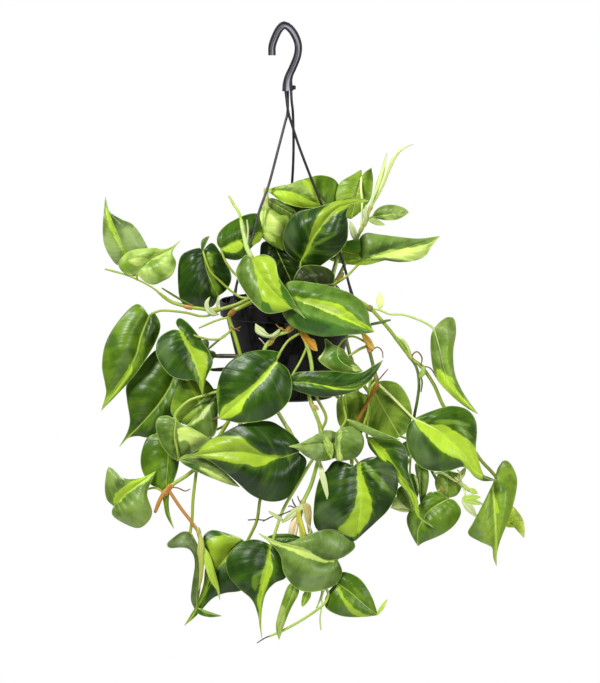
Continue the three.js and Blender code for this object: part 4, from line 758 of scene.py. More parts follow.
def blade_shape(leaf, rows, columns, rng):
    """Middle sheet of a blade with its marks, the faces of one side, its border and its midrib"""
    base, tip = points_of(leaf["base"])[0], points_of(leaf["tip"])[0]
    axis = tip[:2] - base[:2]
    length = np.linalg.norm(axis)
    shares = np.arange(1, rows) / rows
    edges = [smooth_line(np.vstack([base[:2], half, tip[:2]]), shares, 0) for half in half_outlines(leaf)]
    spread = np.abs((np.vstack(edges) - base[:2]) @ (-axis[1], axis[0])).max() / length ** 2
    columns = int(np.clip(spread * length / THINNEST_COLUMN, SHOOT_COLUMNS, columns))
    steps = np.linspace(0, 1, columns + 1)
    rib = points_of(leaf["rib"]) if "rib" in leaf else np.zeros((0, 2))
    rib_shares = shares ** (1 + 0.5 * min(1, spread / 0.3))
    rib_line = smooth_line(np.vstack([base[:2], rib, tip[:2]]), rib_shares, 0)
    camber = leaf.get("camber", SHOOT_CAMBER if "spindle" in leaf else CAMBER) * rng.uniform(0.75, 1.25)
    bow = leaf.get("bow", BOW) * rng.uniform(0.6, 1.3)
    ripple = leaf.get("ripple", RIPPLE)
    flat, depth, across, along = [], [], [], []
    for sign, edge, lean in zip((-1, 1), edges, leaf.get("lean", (0, 0))):
        width = np.linalg.norm(edge - rib_line, axis=1)
        swing = rng.uniform(0, 2 * math.pi)
        for t in steps[::-1] if sign < 0 else steps[1:]:
            point = rib_line + (edge - rib_line) * t
            share = (point - base[:2]) @ axis / length ** 2
            offset = lean * width * t
            offset -= camber * width * math.sin(math.pi * t ** 0.9) ** 1.35
            offset -= bow * length * np.clip(1 - (2 * share - 1) ** 2, -1, 1)
            waves = np.sin(2 * math.pi * RIPPLES * shares + swing)
            offset += ripple * t ** 3 * waves * np.minimum(1, width / 12)
            furrows = np.sin(2 * math.pi * (SIDE_VEINS * shares - VEIN_SWEEP * t ** 1.5 + swing))
            offset += QUILT * math.sin(math.pi * t) * furrows * np.minimum(1, width / 20)
            flat.append(point)
            depth.append(base[2] + (tip[2] - base[2]) * share + offset)
            across.append(np.full(rows - 1, sign * t))
            along.append(shares)
    across_count = len(flat)
    flat = np.vstack([base[:2], np.array(flat).transpose(1, 0, 2).reshape(-1, 2), tip[:2]])
    depth = np.concatenate([[base[2]], np.array(depth).T.ravel(), [tip[2]]])
    across = np.concatenate([[0], np.array(across).T.ravel(), [0]])
    along = np.concatenate([[0], np.array(along).T.ravel(), [1]])
    outline = np.vstack([base[:2], edges[0], tip[:2], edges[1][::-1]])
    rib_line = smooth_line(np.vstack([base[:2], rib_line, tip[:2]]), 160, 0)
    to_rib = np.min(np.linalg.norm(flat[:, None] - rib_line[None], axis=2), axis=1)
    marks = {kind: patch(flat, leaf.get(kind, [])) for kind in PATCHES}
    marks.update(
        across=across, along=along, margin=np.abs(inside_depth(flat, outline)),
        midrib=to_rib / leaf.get("rib_width", 1), reach=np.clip(length / 60, 0.3, 1), seed=rng.random(),
        bright=leaf.get("bright", 0.5), young=float(leaf["tone"] in YOUNG))
    first, last = 0, len(flat) - 1

    def at(row, column):
        return 1 + (row - 1) * across_count + column

    faces = []
    for column in range(across_count - 1):
        faces.append((first, at(1, column + 1), at(1, column)))
        faces.append((last, at(rows - 1, column), at(rows - 1, column + 1)))
        for row in range(1, rows - 1):
            below = row + 1
            faces.append((at(row, column), at(row, column + 1), at(below, column + 1), at(below, column)))
    border = [first] + [at(row, 0) for row in range(1, rows)]
    border += [last] + [at(row, across_count - 1) for row in range(rows - 1, 0, -1)]
    middle = [first] + [at(row, columns) for row in range(1, rows)] + [last]
    return seen(np.column_stack([flat, depth])), marks, faces, border, middle


class Growth:
    """Gathers the blades, stalks and stems of one piece"""

    def __init__(self):
        self.points, self.faces, self.skins, self.tones = [], [], [], []
        self.marks = {name: [] for name in MARKS}
        self.count = 0

    def add(self, points, faces, skin, tone, marks):
        self.points.append(points)
        self.faces += [tuple(k + self.count for k in face) for face in faces]
        self.skins += [skin] * len(faces)
        for name in MARKS:
            self.marks[name].append(np.broadcast_to(marks.get(name, 0.0), len(points)))
        self.tones.append(np.broadcast_to((*linear(LEAF_TONES[tone]), 1), (len(points), 4)))
        self.count += len(points)

    def leaf(self, leaf, rng, front):
        """Adds a blade, and the stalk that runs into its midrib"""
        small = "spindle" in leaf
        ends = [points_of(leaf[end])[:, :2] for end in ("base", "tip")]
        size = max(np.ptp(np.vstack(half_outlines(leaf) + ends), axis=0))
        rows = int(np.clip(size / ROW_HEIGHT, ROWS_LEAST, ROWS_MOST))
        columns = SHOOT_COLUMNS if small else int(np.clip(size / COLUMN_WIDTH, COLUMNS_LEAST, COLUMNS_MOST))
        sheet, marks, faces, border, middle = blade_shape(leaf, rows, columns, rng)
        count = len(sheet)
        normals = np.zeros_like(sheet)
        for face in faces:
            a, b, c = sheet[face[0]], sheet[face[1]], sheet[face[2]]
            normal = np.cross(b - a, c - a)
            for k in face:
                normals[k] += normal
        normals /= np.maximum(np.linalg.norm(normals, axis=1), 1e-9)[:, None]
        if normals[:, 1].sum() > 0:
            normals = -normals
            faces = [face[::-1] for face in faces]
        half = normals * (BLADE / 2)
        both = {name: np.tile(value, 2) if np.ndim(value) else value for name, value in marks.items()}
        both["upper"] = np.repeat([float(front), float(not front)], count)
        rim = [(a, b, b + count, a + count) for a, b in zip(border, border[1:] + border[:1])]
        far_side = [tuple(k + count for k in face[::-1]) for face in faces]
        points = np.vstack([sheet + half, sheet - half])
        self.add(points, faces + far_side + rim, LEAF_SKIN, leaf["tone"], both)
        if "stalk" in leaf or not small and leaf.get("stalk_radius") != 0:
            back = -normals if front else normals
            rib = sheet[middle] + back[middle] * BLADE * SUNK_STALK
            cuts = [int(len(middle) * share) for share in (0.12, 0.3, 0.5, 0.7, 0.88)]
            stalk = seen(points_of(leaf["stalk"])) if "stalk" in leaf else np.zeros((0, 3))
            line = np.vstack([stalk, sheet[:1], rib[cuts]])
            length = np.linalg.norm(np.diff(line, axis=0), axis=1).sum()
            path = smooth_line(line, max(24, int(length / STALK_STEP)))
            near = np.linalg.norm(path - sheet[0], axis=1).argmin()
            radii = np.full(len(path), float(leaf.get("stalk_radius", STALK_RADIUS)))
            if not len(stalk):
                radii *= 0.5
            tail = np.linspace(1, 0, len(path) - near)
            radii[near:] = radii[near] * (0.16 + 0.5 * tail + 0.34 * tail ** 4)
            self.bar(path, radii, leaf.get("stalk_tone", "cord"), STALK_SIDES, np.zeros(len(path)))

    def bar(self, path, radii, tone, sides, joint):
        """Adds a stalk, stem or root; joint says how near each of its points is to a leaf's joint"""
        points, faces = bar_shape(path, radii, sides)
        length = np.concatenate([[0], np.cumsum(np.linalg.norm(np.diff(path, axis=0), axis=1))])
        turn = np.abs(np.linspace(-1, 1, sides, endpoint=False))
        self.add(points, faces, STEM_SKIN, tone, dict(
            along=np.concatenate([[0], np.repeat(length, sides), [length[-1]]]),
            across=np.concatenate([[0], np.tile(turn, len(path)), [0]]),
            joint=np.concatenate([[0], np.repeat(joint, sides), [0]])))

    def mesh(self, name):
        mesh = mesh_of(name, np.vstack(self.points), self.faces)
        for key, values in self.marks.items():
            mesh.attributes.new(key, "FLOAT", "POINT").data.foreach_set("value", np.concatenate(values))
        tones = mesh.attributes.new("tone", "FLOAT_COLOR", "POINT")
        tones.data.foreach_set("color", np.vstack(self.tones).ravel())
        mesh.polygons.foreach_set("material_index", self.skins)
        return mesh


def leafy_stem(name, root, bars, leaves, front=True):
    """One leafy stem: bars for its stem, roots and sheaths, swollen where stalks join, and its leaves.
    Each is drawn over the photograph, as points "across,down,depth" or "across,down"."""
    rng = np.random.default_rng(sum(map(ord, name)))
    growth = Growth()
    starts = [seen(points_of(leaf["stalk"])[0] if "stalk" in leaf else points_of(leaf["base"])[0])
              for leaf in leaves]
    for i, bar in enumerate(bars):
        line = seen(points_of(bar["line"]))
        if i == 0:
            heights = (SOIL_LEVEL - ROOT_DEPTH, SOIL_LEVEL - ROOT_DEPTH / 2, SOIL_LEVEL + 1, SOIL_LEVEL + 6)
            line = np.vstack([[(POT_X + root[0], root[1], z) for z in heights], line])
        length = np.linalg.norm(np.diff(line, axis=0), axis=1).sum()
        path = smooth_line(line, max(14, int(length / STEM_STEP)))
        radii = np.full(len(path), float(bar["radius"]))
        joint = np.zeros(len(path))
        if bar["radius"] > THINNEST_JOINTED:
            for start in starts:
                apart = np.linalg.norm(path - start, axis=1)
                if apart.min() < JOINT_REACH:
                    nearest = path[apart.argmin()]
                    nearby = np.exp(-(np.linalg.norm(path - nearest, axis=1) / JOINT_LENGTH) ** 2)
                    radii *= 1 + JOINT_SWELLING * nearby
                    joint = np.maximum(joint, nearby)
        radii *= np.concatenate([np.full(len(path) - 6, 1.0), np.linspace(1, 0.7, 6)])
        growth.bar(path, radii, bar["tone"], STEM_SIDES, joint)
    for leaf in leaves:
        growth.leaf(leaf, rng, front)
    show(name + "_grown", growth.mesh(name + "_grown"), [leaf_paint.material, stem_paint.material],
         [name])


leafy_stem("stem_left", root=(-29, -20), bars=[
    dict(radius=2, tone="cord",
         line="262,300,-32 256,296,-50 250,298,-63 235,305,-66 215,310,-62 200,308.5,-60 190,307,-58 "
              "172,302,-54 158,292,-51.5"),
    dict(radius=1.1, tone="cord", line="163,296,-52 150,286,-50 128,275.5,-46 105,269,-42"),
    dict(radius=1.2, tone="moss", line="194,306.5,-59 178,298,-61 162,288,-62"),
    dict(radius=2.9, tone="amber", line="192,307.5,-58.5 184,306,-57"),
], leaves=[
    dict(base="127,255,-34", tip="105.5,197,-22", rib="118,235 110,215",
         left="119,265 111,258 104,243 103,221", right="140,262 149,254 142,237 132,224 121,219 109,211",
         lean=(0.15, 0.05), stalk="131,277,-46.5 129,266,-40", tone="silver",
         lime=["107,209 111,220 116,233 122,246 127,254 124,255 118,244 111,231 107,220"],
         grey_sheen=["104,236 112,240 122,256 118,264 108,252", "116,228 130,226 142,248 130,254"],
         shade=["109,212 120,219 133,223 128,228 114,226"]),
    dict(base="142,266,-50", tip="180,241,-48", rib="154,257 167,251",
         left="140,274 130,276 121,270 119,262 130,251 152,248 167,249",
         right="137,272 143,280 153,284.5 163,281 172,275 176,263 172,252", lean=(0.1, -0.1),
         stalk="137,280,-48 137,273,-50", tone="mellow", bright=0.6,
         pale=["150,258 160,250 171,245 166,252 157,260", "128,260 142,257 150,262 138,265"]),
    dict(base="149,316,-55", tip="101,411,-52", rib="141,336 136,355 125,376 110,398",
         left="137,304 120,319 106,342 102,365 105,383 106,394",
         right="153,312 159,320 160,330 153,347 140,368 126,385", lean=(-0.08, 0.04),
         stalk="216,310,-62 210,315,-61 200,316,-59 185,312.5,-58 165,310.5,-56 156,312,-56", tone="meadow",
         rib_width=2.4, lime=["130,364 132,370 124,384 113,397 103,405 110,394 122,377"],
         grey_sheen=["122,352 130,350 124,372 116,378"], shade=["150,316 157,322 152,344 143,342"]),
    dict(base="203,251,-48", tip="218,296,-46", rib="206,268 212,284",
         left="198,248 181,256 178,280 182,303 200,308 213,306",
         right="212,243 220,252 230,271 231,281 226,290", lean=(0.12, 0.3),
         stalk="248,298,-63 240,297,-60 230,290,-57 220,281,-55 211,272,-54 206,261,-53", tone="deep",
         olive=["207,253 212,258 214,276 222,290 222,303 214,296 209,280"]),
    dict(base="202,253,-47", tip="209.5,236,-46", left="201,243 204,238", right="205,244 207,240",
         tone="green"),
    dict(base="219,314.5,-63.5", tip="210.5,296.5,-60", rib="211,312 207,305",
         left="212,316 206,311 204.5,304 207,299", right="213.5,311 209.5,308 208.6,302", tone="cream"),
    dict(base="217,309,-62", tip="218.5,296,-60", spindle=1.6, tone="cream"),
])

leafy_stem("stem_left_front", root=(-20, -36), bars=[
    dict(radius=2.1, tone="cord",
         line="266,306,-48 258,301,-61 250,303,-72 240,307.5,-77 232,311.5,-76 229,317,-74 231,325,-72 "
              "234,333,-72 240,353,-74 247,375,-78 243,400,-77 233,414,-72 222,432,-66 208,455,-60 "
              "197,467,-58 186,476,-57 168,488,-57 160,500,-57 155,512,-56"),
    dict(radius=1.1, tone="cord", line="229,317,-74 215,321,-73 199,328,-71"),
    dict(radius=1.7, tone="cord", line="197,466,-58 195,482,-57 193,500,-57 192,520,-57 190,534,-57"),
    dict(radius=1.8, tone="amber", line="168,489,-57 180,507,-58 190,520,-59 200,534,-60"),
    dict(radius=2.1, tone="husk", line="198,528,-60 201,545,-60 204,560,-60"),
    dict(radius=2.8, tone="amber", line="172,485,-57 162,497,-57"),
    dict(radius=3, tone="rust", line="235,309.5,-76.5 229,316,-74.5"),
    dict(radius=2.3, tone="stick", line="240,356,-74 226,356,-68 211,356,-62"),
    dict(radius=0.8, tone="root", line="170,487,-58 178,488,-60 185,491,-60 190,489,-60"),
    dict(radius=2.3, tone="amber", line="170,485,-58.5 161,498,-58 155,512.5,-57"),
    dict(radius=2.1, tone="stick", line="246,368,-77.5 236,368.2,-71 224,369.3,-61.5 212,369.9,-53.5"),
    dict(radius=0.7, tone="root", line="231,327,-74 236,329,-77 241,326.5,-77"),
    dict(radius=0.6, tone="root", line="235,329,-76.5 240,331,-77.5"),
    dict(radius=1, tone="root", line="231,417,-71.5 222,417,-73 214,419,-73.5 209,422.5,-73"),
], leaves=[
    dict(base="181,331,-79", tip="203,397,-80", rib="190,350 200,376",
         left="172,330 160,337 156,347 158,359 170,375 185,380 196,381",
         right="176,323 180,318 190,325 203,342 212,358 212,366 206,379", lean=(0.05, 0.2),
         stalk="232,329,-72 222,338,-78 212,339.5,-81 199,337,-82", tone="forest", bright=0.3,
         lime=["179,330 183,332 190,344 198,350 206,354 208,363 206,371 205,379 203,396 200,392 199,378 "
               "195,366 190,354 184,343"],
         olive=["187,350 191,358 192,372 188,364", "193,366 197,372 199,382 195,378"],
         grey_sheen=["160,344 168,338 172,352 168,366 161,358"], shade=["183,340 188,352 190,368 184,362"]),
    dict(base="175,372,-43", tip="119,447,-34", rib="170,386 158,405 140,425 129,436",
         left="168,354 156,350 141,366 127,384 127,400 130,420 127,433",
         right="186,385 180,407 166,425 150,437 138,436 128,438", lean=(0.04, 0.1),
         stalk="245,368,-77 236,368,-70 224,369,-60 212,369.5,-52 190,371,-45", tone="fern", rib_width=2.2),
    dict(base="214,390,-61", tip="177,421,-61", left="206,380 192,375 180,383 173,398 171,411",
         right="217,400 209,413 200,421 188,425", lean=(0.1, 0.1), stalk="243,394,-77.5 230,390,-68",
         tone="pasture", lime=["186,382 190,382 198,395 203,409 200,408 195,396"]),
    dict(base="176,420,-69", tip="178,461,-67", rib="177,440",
         left="168,416 158,418 156,428 161,444 170,456",
         right="184,426 193,428 203,432 212,438 203,447 190,454", lean=(0.1, 0.15),
         stalk="243,399,-77 228,391,-76 216,392,-75 202,396,-75 190,400,-74 180,408,-72 175,415,-70",
         tone="sage",
         pale=["178,430 184,426.5 193,427.5 204,432 212,438 204,446 193,452 190,444 184,440 179,442"],
         bright=0.6, stalk_tone="shoot", stalk_radius=1.5),
    dict(base="168,440,-50", tip="174,529,-52", rib="168,460 166,488 167,508",
         left="158,434 147,438 141,455 142,470 150,484 160,489 163,500 166,515",
         right="176,444 179,458 177,472 172,486 169,496 169,511", lean=(0.1, 0.1),
         stalk="231,417,-71 222,427,-60 205,433,-56 185,435,-52", tone="meadow"),
    dict(base="179,459,-73", tip="240,487,-74", rib="205,468", left="185,465 205,475 225,483",
         right="190,454 210,461 226,473", lean=(0.3, -0.3), stalk="176,421,-70 174.5,436,-74 177,449,-75",
         stalk_radius=1.1, tone="silver", pale=["200,468 211,470 223,476 240,487 228,484 213,478"],
         green=["182,460 198,466 210,476 196,472"]),
    dict(base="114,506,-60", tip="156,471,-60", rib="130,491",
         left="107,499 105,485 109,467 121,477 132,479 144,477",
         right="112,514 120,521 137,528 147,523 152,512 147,495 151,482", lean=(0.1, -0.05),
         stalk="165,493,-57 155,488,-56 143,491,-56 128,499,-56", tone="lichen", bright=0.9,
         lime=["113,503 117,492 128,484 142,478 157,470 148,480 138,487 127,494 120,502"],
         shade=["115,480 126,480 122,488 115,490"]),
    dict(base="190,532,-57", tip="196,611,-55", rib="196,550 197,580",
         left="182,532 173,538 167,544 170,548 184,547 192,552 195,564 192,585 191,600",
         right="193,536 199,550 201,570 200,590", lean=(0.25, 0.4), tone="ash",
         grey_sheen=["180,536 190,538 190,546 178,545"]),
    dict(base="200,532,-61", tip="198,592,-62", rib="201,560", left="197.5,550 199,575",
         right="204,545 203,575", lean=(0.3, 0.3), tone="husk"),
    dict(base="203,545,-61", tip="220,601,-60", rib="208,563 215,584", left="204,562 210,580 218,592",
         right="210,556 215,572 219,588", tone="lime"),
    dict(base="196,607,-55", tip="222,616,-52", left="199,614 209,617", right="203,611 212,614",
         tone="green", olive=["203,609 214,613 222,616 206,614"]),
    dict(base="216.5,391.5,-62", tip="184,429,-66", left="211,399 205.9,408.2 200.6,417 191.7,423.3",
         right="219,404 217.5,416 217,428 213,437 204,437.5 194,432", stalk="243,396,-77.5 230,391.5,-69.5",
         tone="sage", pale=["218,394 213,403 207,412 201,420 192,425 186,428 193,422 201,414 208,402"]),
])

leafy_stem("stem_centre_left", root=(-3, -40), bars=[
    dict(radius=2.1, tone="shoot",
         line="287,303,-54 288,301,-66 290,305,-79 293,315,-83 293,327,-84 285,332,-85 275,336,-85 "
              "265,348,-85 262,365,-85 266,385,-85 272,402,-85 279,414,-84 285,424,-83 291,434,-82 "
              "296,442,-82"),
    dict(radius=3, tone="amber", line="293.5,324,-84 287,331,-85"),
    dict(radius=1.7, tone="cord",
         line="288,429,-82.5 282,445,-77 270,470,-70 263,488,-66 260,500,-64 257,520,-58 251,534,-53 "
              "246,543,-50"),
    dict(radius=0.6, tone="white", line="266,346,-85 262,341,-88 259,338,-89"),
    dict(radius=0.7, tone="stick", line="248,520,-57 257,519.5,-59 265,520,-59 272,516.5,-59"),
    dict(radius=0.7, tone="amber", line="286,331,-87 280.5,328.5,-89.5 276,324.5,-89"),
], leaves=[
    dict(base="281,328,-87", tip="255.6,323.3,-88", rib="275,333.5 268,335.3 260,330",
         left="279,332.5 274,336.7 269.4,338 264,336.9 258.3,334.4 255.5,332 255,328",
         right="277,330.3 271.7,334.4 267.8,334.2 263.9,329 259.4,326.1",
         stalk="286.5,331.6,-85 283.6,330.4,-86.2", tone="cream"),
    dict(base="298,452,-86", tip="178,459.5,-82", rib="275,458 240,452 205,454",
         left="306,459 305,469 297,484 287,498 270,501.5 252,495 236,481 215,464 200,457",
         right="300,444 294,436 283,428 268,421 242,424 225,432 210,440 195,451", lean=(0.12, 0.12),
         stalk="288,430,-82.5 293,438,-82 297,446,-83", tone="deep", bright=0.15,
         lime=["178,459 196,453 203,446 212,439 222,436.5 233,436 242,438 250,445 258,450 266,454 278,455 "
               "290,455 278,458 270,462 262,466 254,466.5 247,464 236,463 222,461 212,459 196,457"]),
    dict(base="246,543,-50", tip="184,626,-46", rib="224,560 210,585 200,605",
         left="252,553 255,570 250,585 240,591 225,593 213,598 204,607 195,617",
         right="240,538 226,533 213,530 205,534 203,541 206,553 205,570 203,586 196,605", lean=(0.05, 0.1),
         tone="forest", bright=0.25,
         lime=["206,543 212,538 225,535.5 240,538 234,545 229,552 226,560 220,566 213,570 210,560 209,550",
               "205,571 210,574 209,584 204,596 200,605 191,620 184,626 192,614 198,602 203,588"],
         olive=["212,560 224,560 218,567 213,568"]),
    dict(base="274,338,-86.2", tip="268,346,-87", spindle=2.2, tone="rust"),
])

leafy_stem("stem_centre", root=(14, -40), bars=[
    dict(radius=2.1, tone="shoot",
         line="303,303,-55 303,300,-67 302,305,-79 301,318,-83 301,331,-84 304,338,-84 308,348,-84 "
              "312,370,-84 309,393,-84 312,405,-84 318,420,-80 321,431,-76 320,445,-73 318,460,-73 "
              "311,485,-74 302,505,-76 300,520,-78 301,530,-80 304,545,-81 312,562,-81 321,577,-82"),
    dict(radius=1.5, tone="shoot",
         line="320,575,-82 327,590,-82 328,596,-82 323,605,-82 305,618,-80 284,630,-77 270,636,-76"),
    dict(radius=0.7, tone="stick", line="273,635,-76 265,638,-76 257,643,-76"),
    dict(radius=0.9, tone="pale", line="322,605,-82 320,618,-82 321,630,-82"),
    dict(radius=1.6, tone="cord", line="312,388,-84 318,400,-83 326,417,-80 322,430,-77"),
    dict(radius=1.7, tone="shoot",
         line="320,448,-73 311,462,-74 298,484,-76 284,508,-78 276,530,-80 271,547,-80"),
    dict(radius=2.9, tone="orange", line="301,326,-84 303,335,-84"),
    dict(radius=1.1, tone="cream", line="303,536,-80.5 311,532,-82 306,520,-82 303,508,-80"),
    dict(radius=2.6, tone="sun", line="298,510,-79.5 300,520,-81 303,530,-82 305.5,541,-82"),
    dict(radius=1.2, tone="pale", line="303,508,-79 306,519,-80 310,528,-81 314,538,-82"),
    dict(radius=0.8, tone="root", line="300,507,-77 295,508,-78 291,506,-79 288,506.5,-80"),
    dict(radius=0.8, tone="stick", line="297,508,-78 294,504,-79 292,499,-80"),
    dict(radius=0.7, tone="root", line="303,503,-77 299.5,501,-78 297.5,496,-79"),
    dict(radius=0.7, tone="stick",
         line="297,508,-78 290,511,-80.5 283,514,-81.5 277,515.5,-81 270,517.5,-80 263,521.5,-79"),
    dict(radius=1.1, tone="shoot",
         line="327,590,-82 325,586,-81.5 322.5,589,-81.5 321.5,595,-81.5 319.5,601,-81 316.5,608,-80.7"),
    dict(radius=0.9, tone="pale", line="323,605,-82 321.5,600,-82 322.8,594,-82 325,589,-81.8"),
], leaves=[
    dict(base="276,361,-97", tip="219,419,-94", rib="262,378 240,401",
         left="280,353 262,350 240,355 224,368 217,388 218,407",
         right="288,370 292,388 286,405 267,419 242,423 230,421", lean=(0.1, 0.1),
         stalk="302,332,-85 295,336,-90 288,341,-94 281,351,-97", tone="forest", bright=0.8,
         lime=["275,361 277,362 272,370 268,376 263,382 255,389 249,397 243,405 240,412 232,417 219,419 "
               "222,409 227,404 238,396 250,387 262,375"], olive=["216,388 218.5,384 219.5,396 217.5,408"]),
    dict(base="290,382,-91", tip="383,360,-93", rib="310,383 340,387 365,378",
         left="291,376 300,372 330,371 358,373 373,366",
         right="291,388 310,395 325,397 345,394 363,387 375,374", lean=(0.1, 0.1),
         stalk="307,347,-84.5 300,362,-88 293,374,-91", tone="forest",
         lime=["300,381 315,383 332,387.2 348,388.4 362,386 374,378 364,385.6 350,390 334,389.4 316,385"],
         shade=["300,388 330,391 352,392 340,397 315,396"]),
    dict(base="288,297,-91", tip="374,332,-93", rib="315,306 345,318",
         left="285,288 292,281 320,284 345,291 360,300 368,312 370,323",
         right="281,305 284,316 295,328 320,336 345,335 362,334", lean=(0.2, -0.05),
         stalk="301.5,308,-80 297,301,-84 291,297,-88", tone="jade", bright=0.9,
         lime=["289,296 300,297 312,299 326,301 338,305 350,312 362,322 374,331 360,326 346,321 334,315 "
               "322,309 308,304 298,301"], shade=["284,308 300,314 330,324 324,332 300,328"],
         green=["286,305 300,312 330,322 350,331 330,335 300,330"],
         pale=["296,298 310,301 328,306 344,314 336,315 320,309 304,303"]),
    dict(base="338,442,-81", tip="288,446.5,-94", left="340,452 332,459 318,461 306,456 297,449",
         right="338,434 326,430 312,437 300,443", lean=(0.1, 0.1), stalk="321,431,-76 330,436,-79",
         tone="silver", grey_sheen=["312,440 322,442 324,454 314,456"],
         olive=["322,452 330,450 334,456 324,459"]),
    dict(base="320,428,-81", tip="332,460,-99", left="323,440 327,452", right="326,436 333,446",
         tone="soft"),
    dict(base="318.5,458,-73.5", tip="329,503,-90", spindle=2.9, tone="cream"),
    dict(base="303,503,-78", tip="308.5,534,-80", left="308,506 309.5,520", right="306,512 307.5,525",
         tone="tan"),
    dict(base="284,521,-79", tip="268,511,-80", spindle=2, tone="cream"),
    dict(base="305,503.5,-77.5", tip="281,523.5,-80.5", spindle=3.4, tone="cream"),
    dict(base="337,559,-87", tip="258,533,-93", rib="325,560 310,553 290,547 272,541",
         left="345,556 355,547 350,538 335,530 322,530 304,537 285,543 270,538",
         right="342,573 333,586 312,592 296,588 284,573 280,555 269,542", lean=(0.05, 0.05),
         stalk="311,560,-81 322,562,-83", tone="sage", bright=0.6,
         grey_sheen=["330,566 318,570 300,580 312,586 326,578", "325,538 342,542 346,550 326,548"],
         pale=["258,533 270,538.5 282,543 298,546 308,550 318,557 328,560 337,559.5 326,563 314,560 "
               "300,555 286,549 272,544"]),
    dict(base="302,538,-80", tip="264,538,-74", left="292,545 276,545", right="292,534 276,534",
         tone="green"),
    dict(base="270,545,-80", tip="262,639,-74", rib="268,565 262,590 259,612",
         left="278,549 285,562 286,577 275,583 266,593 262,608 261,625",
         right="259,540 245,541 232,550 226,562 229,576 240,589 252,600 258,615 260,628", lean=(0.15, 0.08),
         tone="forest",
         lime=["268,546 271,546 271,557 273,566 271,576 266,587 263,598 261.5,612 262,638 259,614 257,598 "
               "260,584 262,572 266,560"],
         olive=["266,564 260,571 252,577 258,577 264,573", "253,574 258,580 256,592 252,586"],
         shade=["244,546 258,550 256,564 246,564"]),
    dict(base="296,582,-79", tip="279,640,-76", rib="290,600 281,622", left="288,586 281,605 276,625",
         right="299,592 291,608 284,625", lean=(0.3, 0.3), stalk="320,574,-82 308,577,-80", tone="soft",
         lime=["277,630 281,630 281,640 277,639"], pale=["277,612 284,606 285,622 283,636 279,639 277,628"],
         bright=0.2),
    dict(base="337,583,-79", tip="378,615,-79", rib="350,592 366,606",
         left="330,590 325,600 327,609 342,616 362,617", right="335,575 345,572 360,579 371,595",
         lean=(0.1, 0.15), stalk="322,578,-82 330,581,-80", tone="meadow",
         lime=["336.4,583.8 338.5,586 344.5,597 352,606 362,613 373,616 360,616.6 350,611.5 342.5,601 "
               "337.6,591"], grey_sheen=["342,604 350,612 346,614 340,606"],
         olive=["352,586 360,592 366,600 358,596"]),
    dict(base="377,615,-79", tip="387.5,599,-77", spindle=1.9, tone="lime"),
    dict(base="310,588,-81", tip="302,607,-81", spindle=4, stalk="323,581,-82 316,585,-81", tone="light"),
    dict(base="302,329,-86", tip="317.5,351,-87", left="301,336 306,343 309.5,346 312,349.5",
         right="306,330.5 309,337.5 314,339.5 316,344", lean=(0.3, 0.3), tone="ochre",
         tan=["304,337 308,342 313,347 308,345"]),
    dict(base="312,405,-86", tip="319,410,-86", spindle=2.4, tone="tan"),
    dict(base="300,512,-77.5", tip="291,543,-78", left="294,517 290,524 288.5,534",
         right="298,520 297.5,530 295,540", tone="blush"),
    dict(base="307,503,-77.5", tip="309,534,-80", left="310.5,506 311.5,516 310.5,526",
         right="309,507 309.6,516 309,526", tone="bark"),
])

leafy_stem("stem_top_left", root=(-13, -20), bars=[
    dict(radius=2.1, tone="cord", line="276,303,-40 269,290,-62 261,275,-76 253,258,-82"),
    dict(radius=2.6, tone="pale", line="254,262,-79 247,248,-76 244,234,-71 241,220,-66"),
    dict(radius=1.4, tone="lime", line="243,228,-69 239,213,-64 234,205,-60 229,196,-56"),
    dict(radius=1.1, tone="cream", line="247,244,-75 248,231,-75 247,220,-74"),
], leaves=[
    dict(base="252,259,-82", tip="306,319,-107", rib="262,278 280,298",
         left="246,255 240,262 236,274 243,289 254,304 266,313 281,312 295,309",
         right="257,256 266,255 275,261 279,277 289,293 297,307", lean=(0.12, 0.1),
         stalk="255,264,-81 252,256,-82", tone="sage", bright=0.4,
         lime=["253,259 262,256 271,258 276,266 279,281 283,297 291,308 280,312 272,310 269,303 264,301 "
               "260,295 257,280"],
         green=["264,301 269,304 272,312 264,312 261,306", "281,284 289,296 293,306 285,306 281,296"]),
    dict(base="221,249,-48", tip="263,230,-18",
         left="217,243 218,234 226,225 238,218 248,214 258,213 263,220",
         right="222,255 228,259 238,260 244,256 253,246 261,240", lean=(0.05, 0.05),
         stalk="267,287,-65 250,284,-61 236,275,-57 226,262,-54", tone="green",
         lime=["222,248 230,243 239,240 243,247 236,252 226,252",
               "251,244 253,238 258,232 262,234 260,242"], shade=["224,254 238,256 236,260 226,260"]),
])

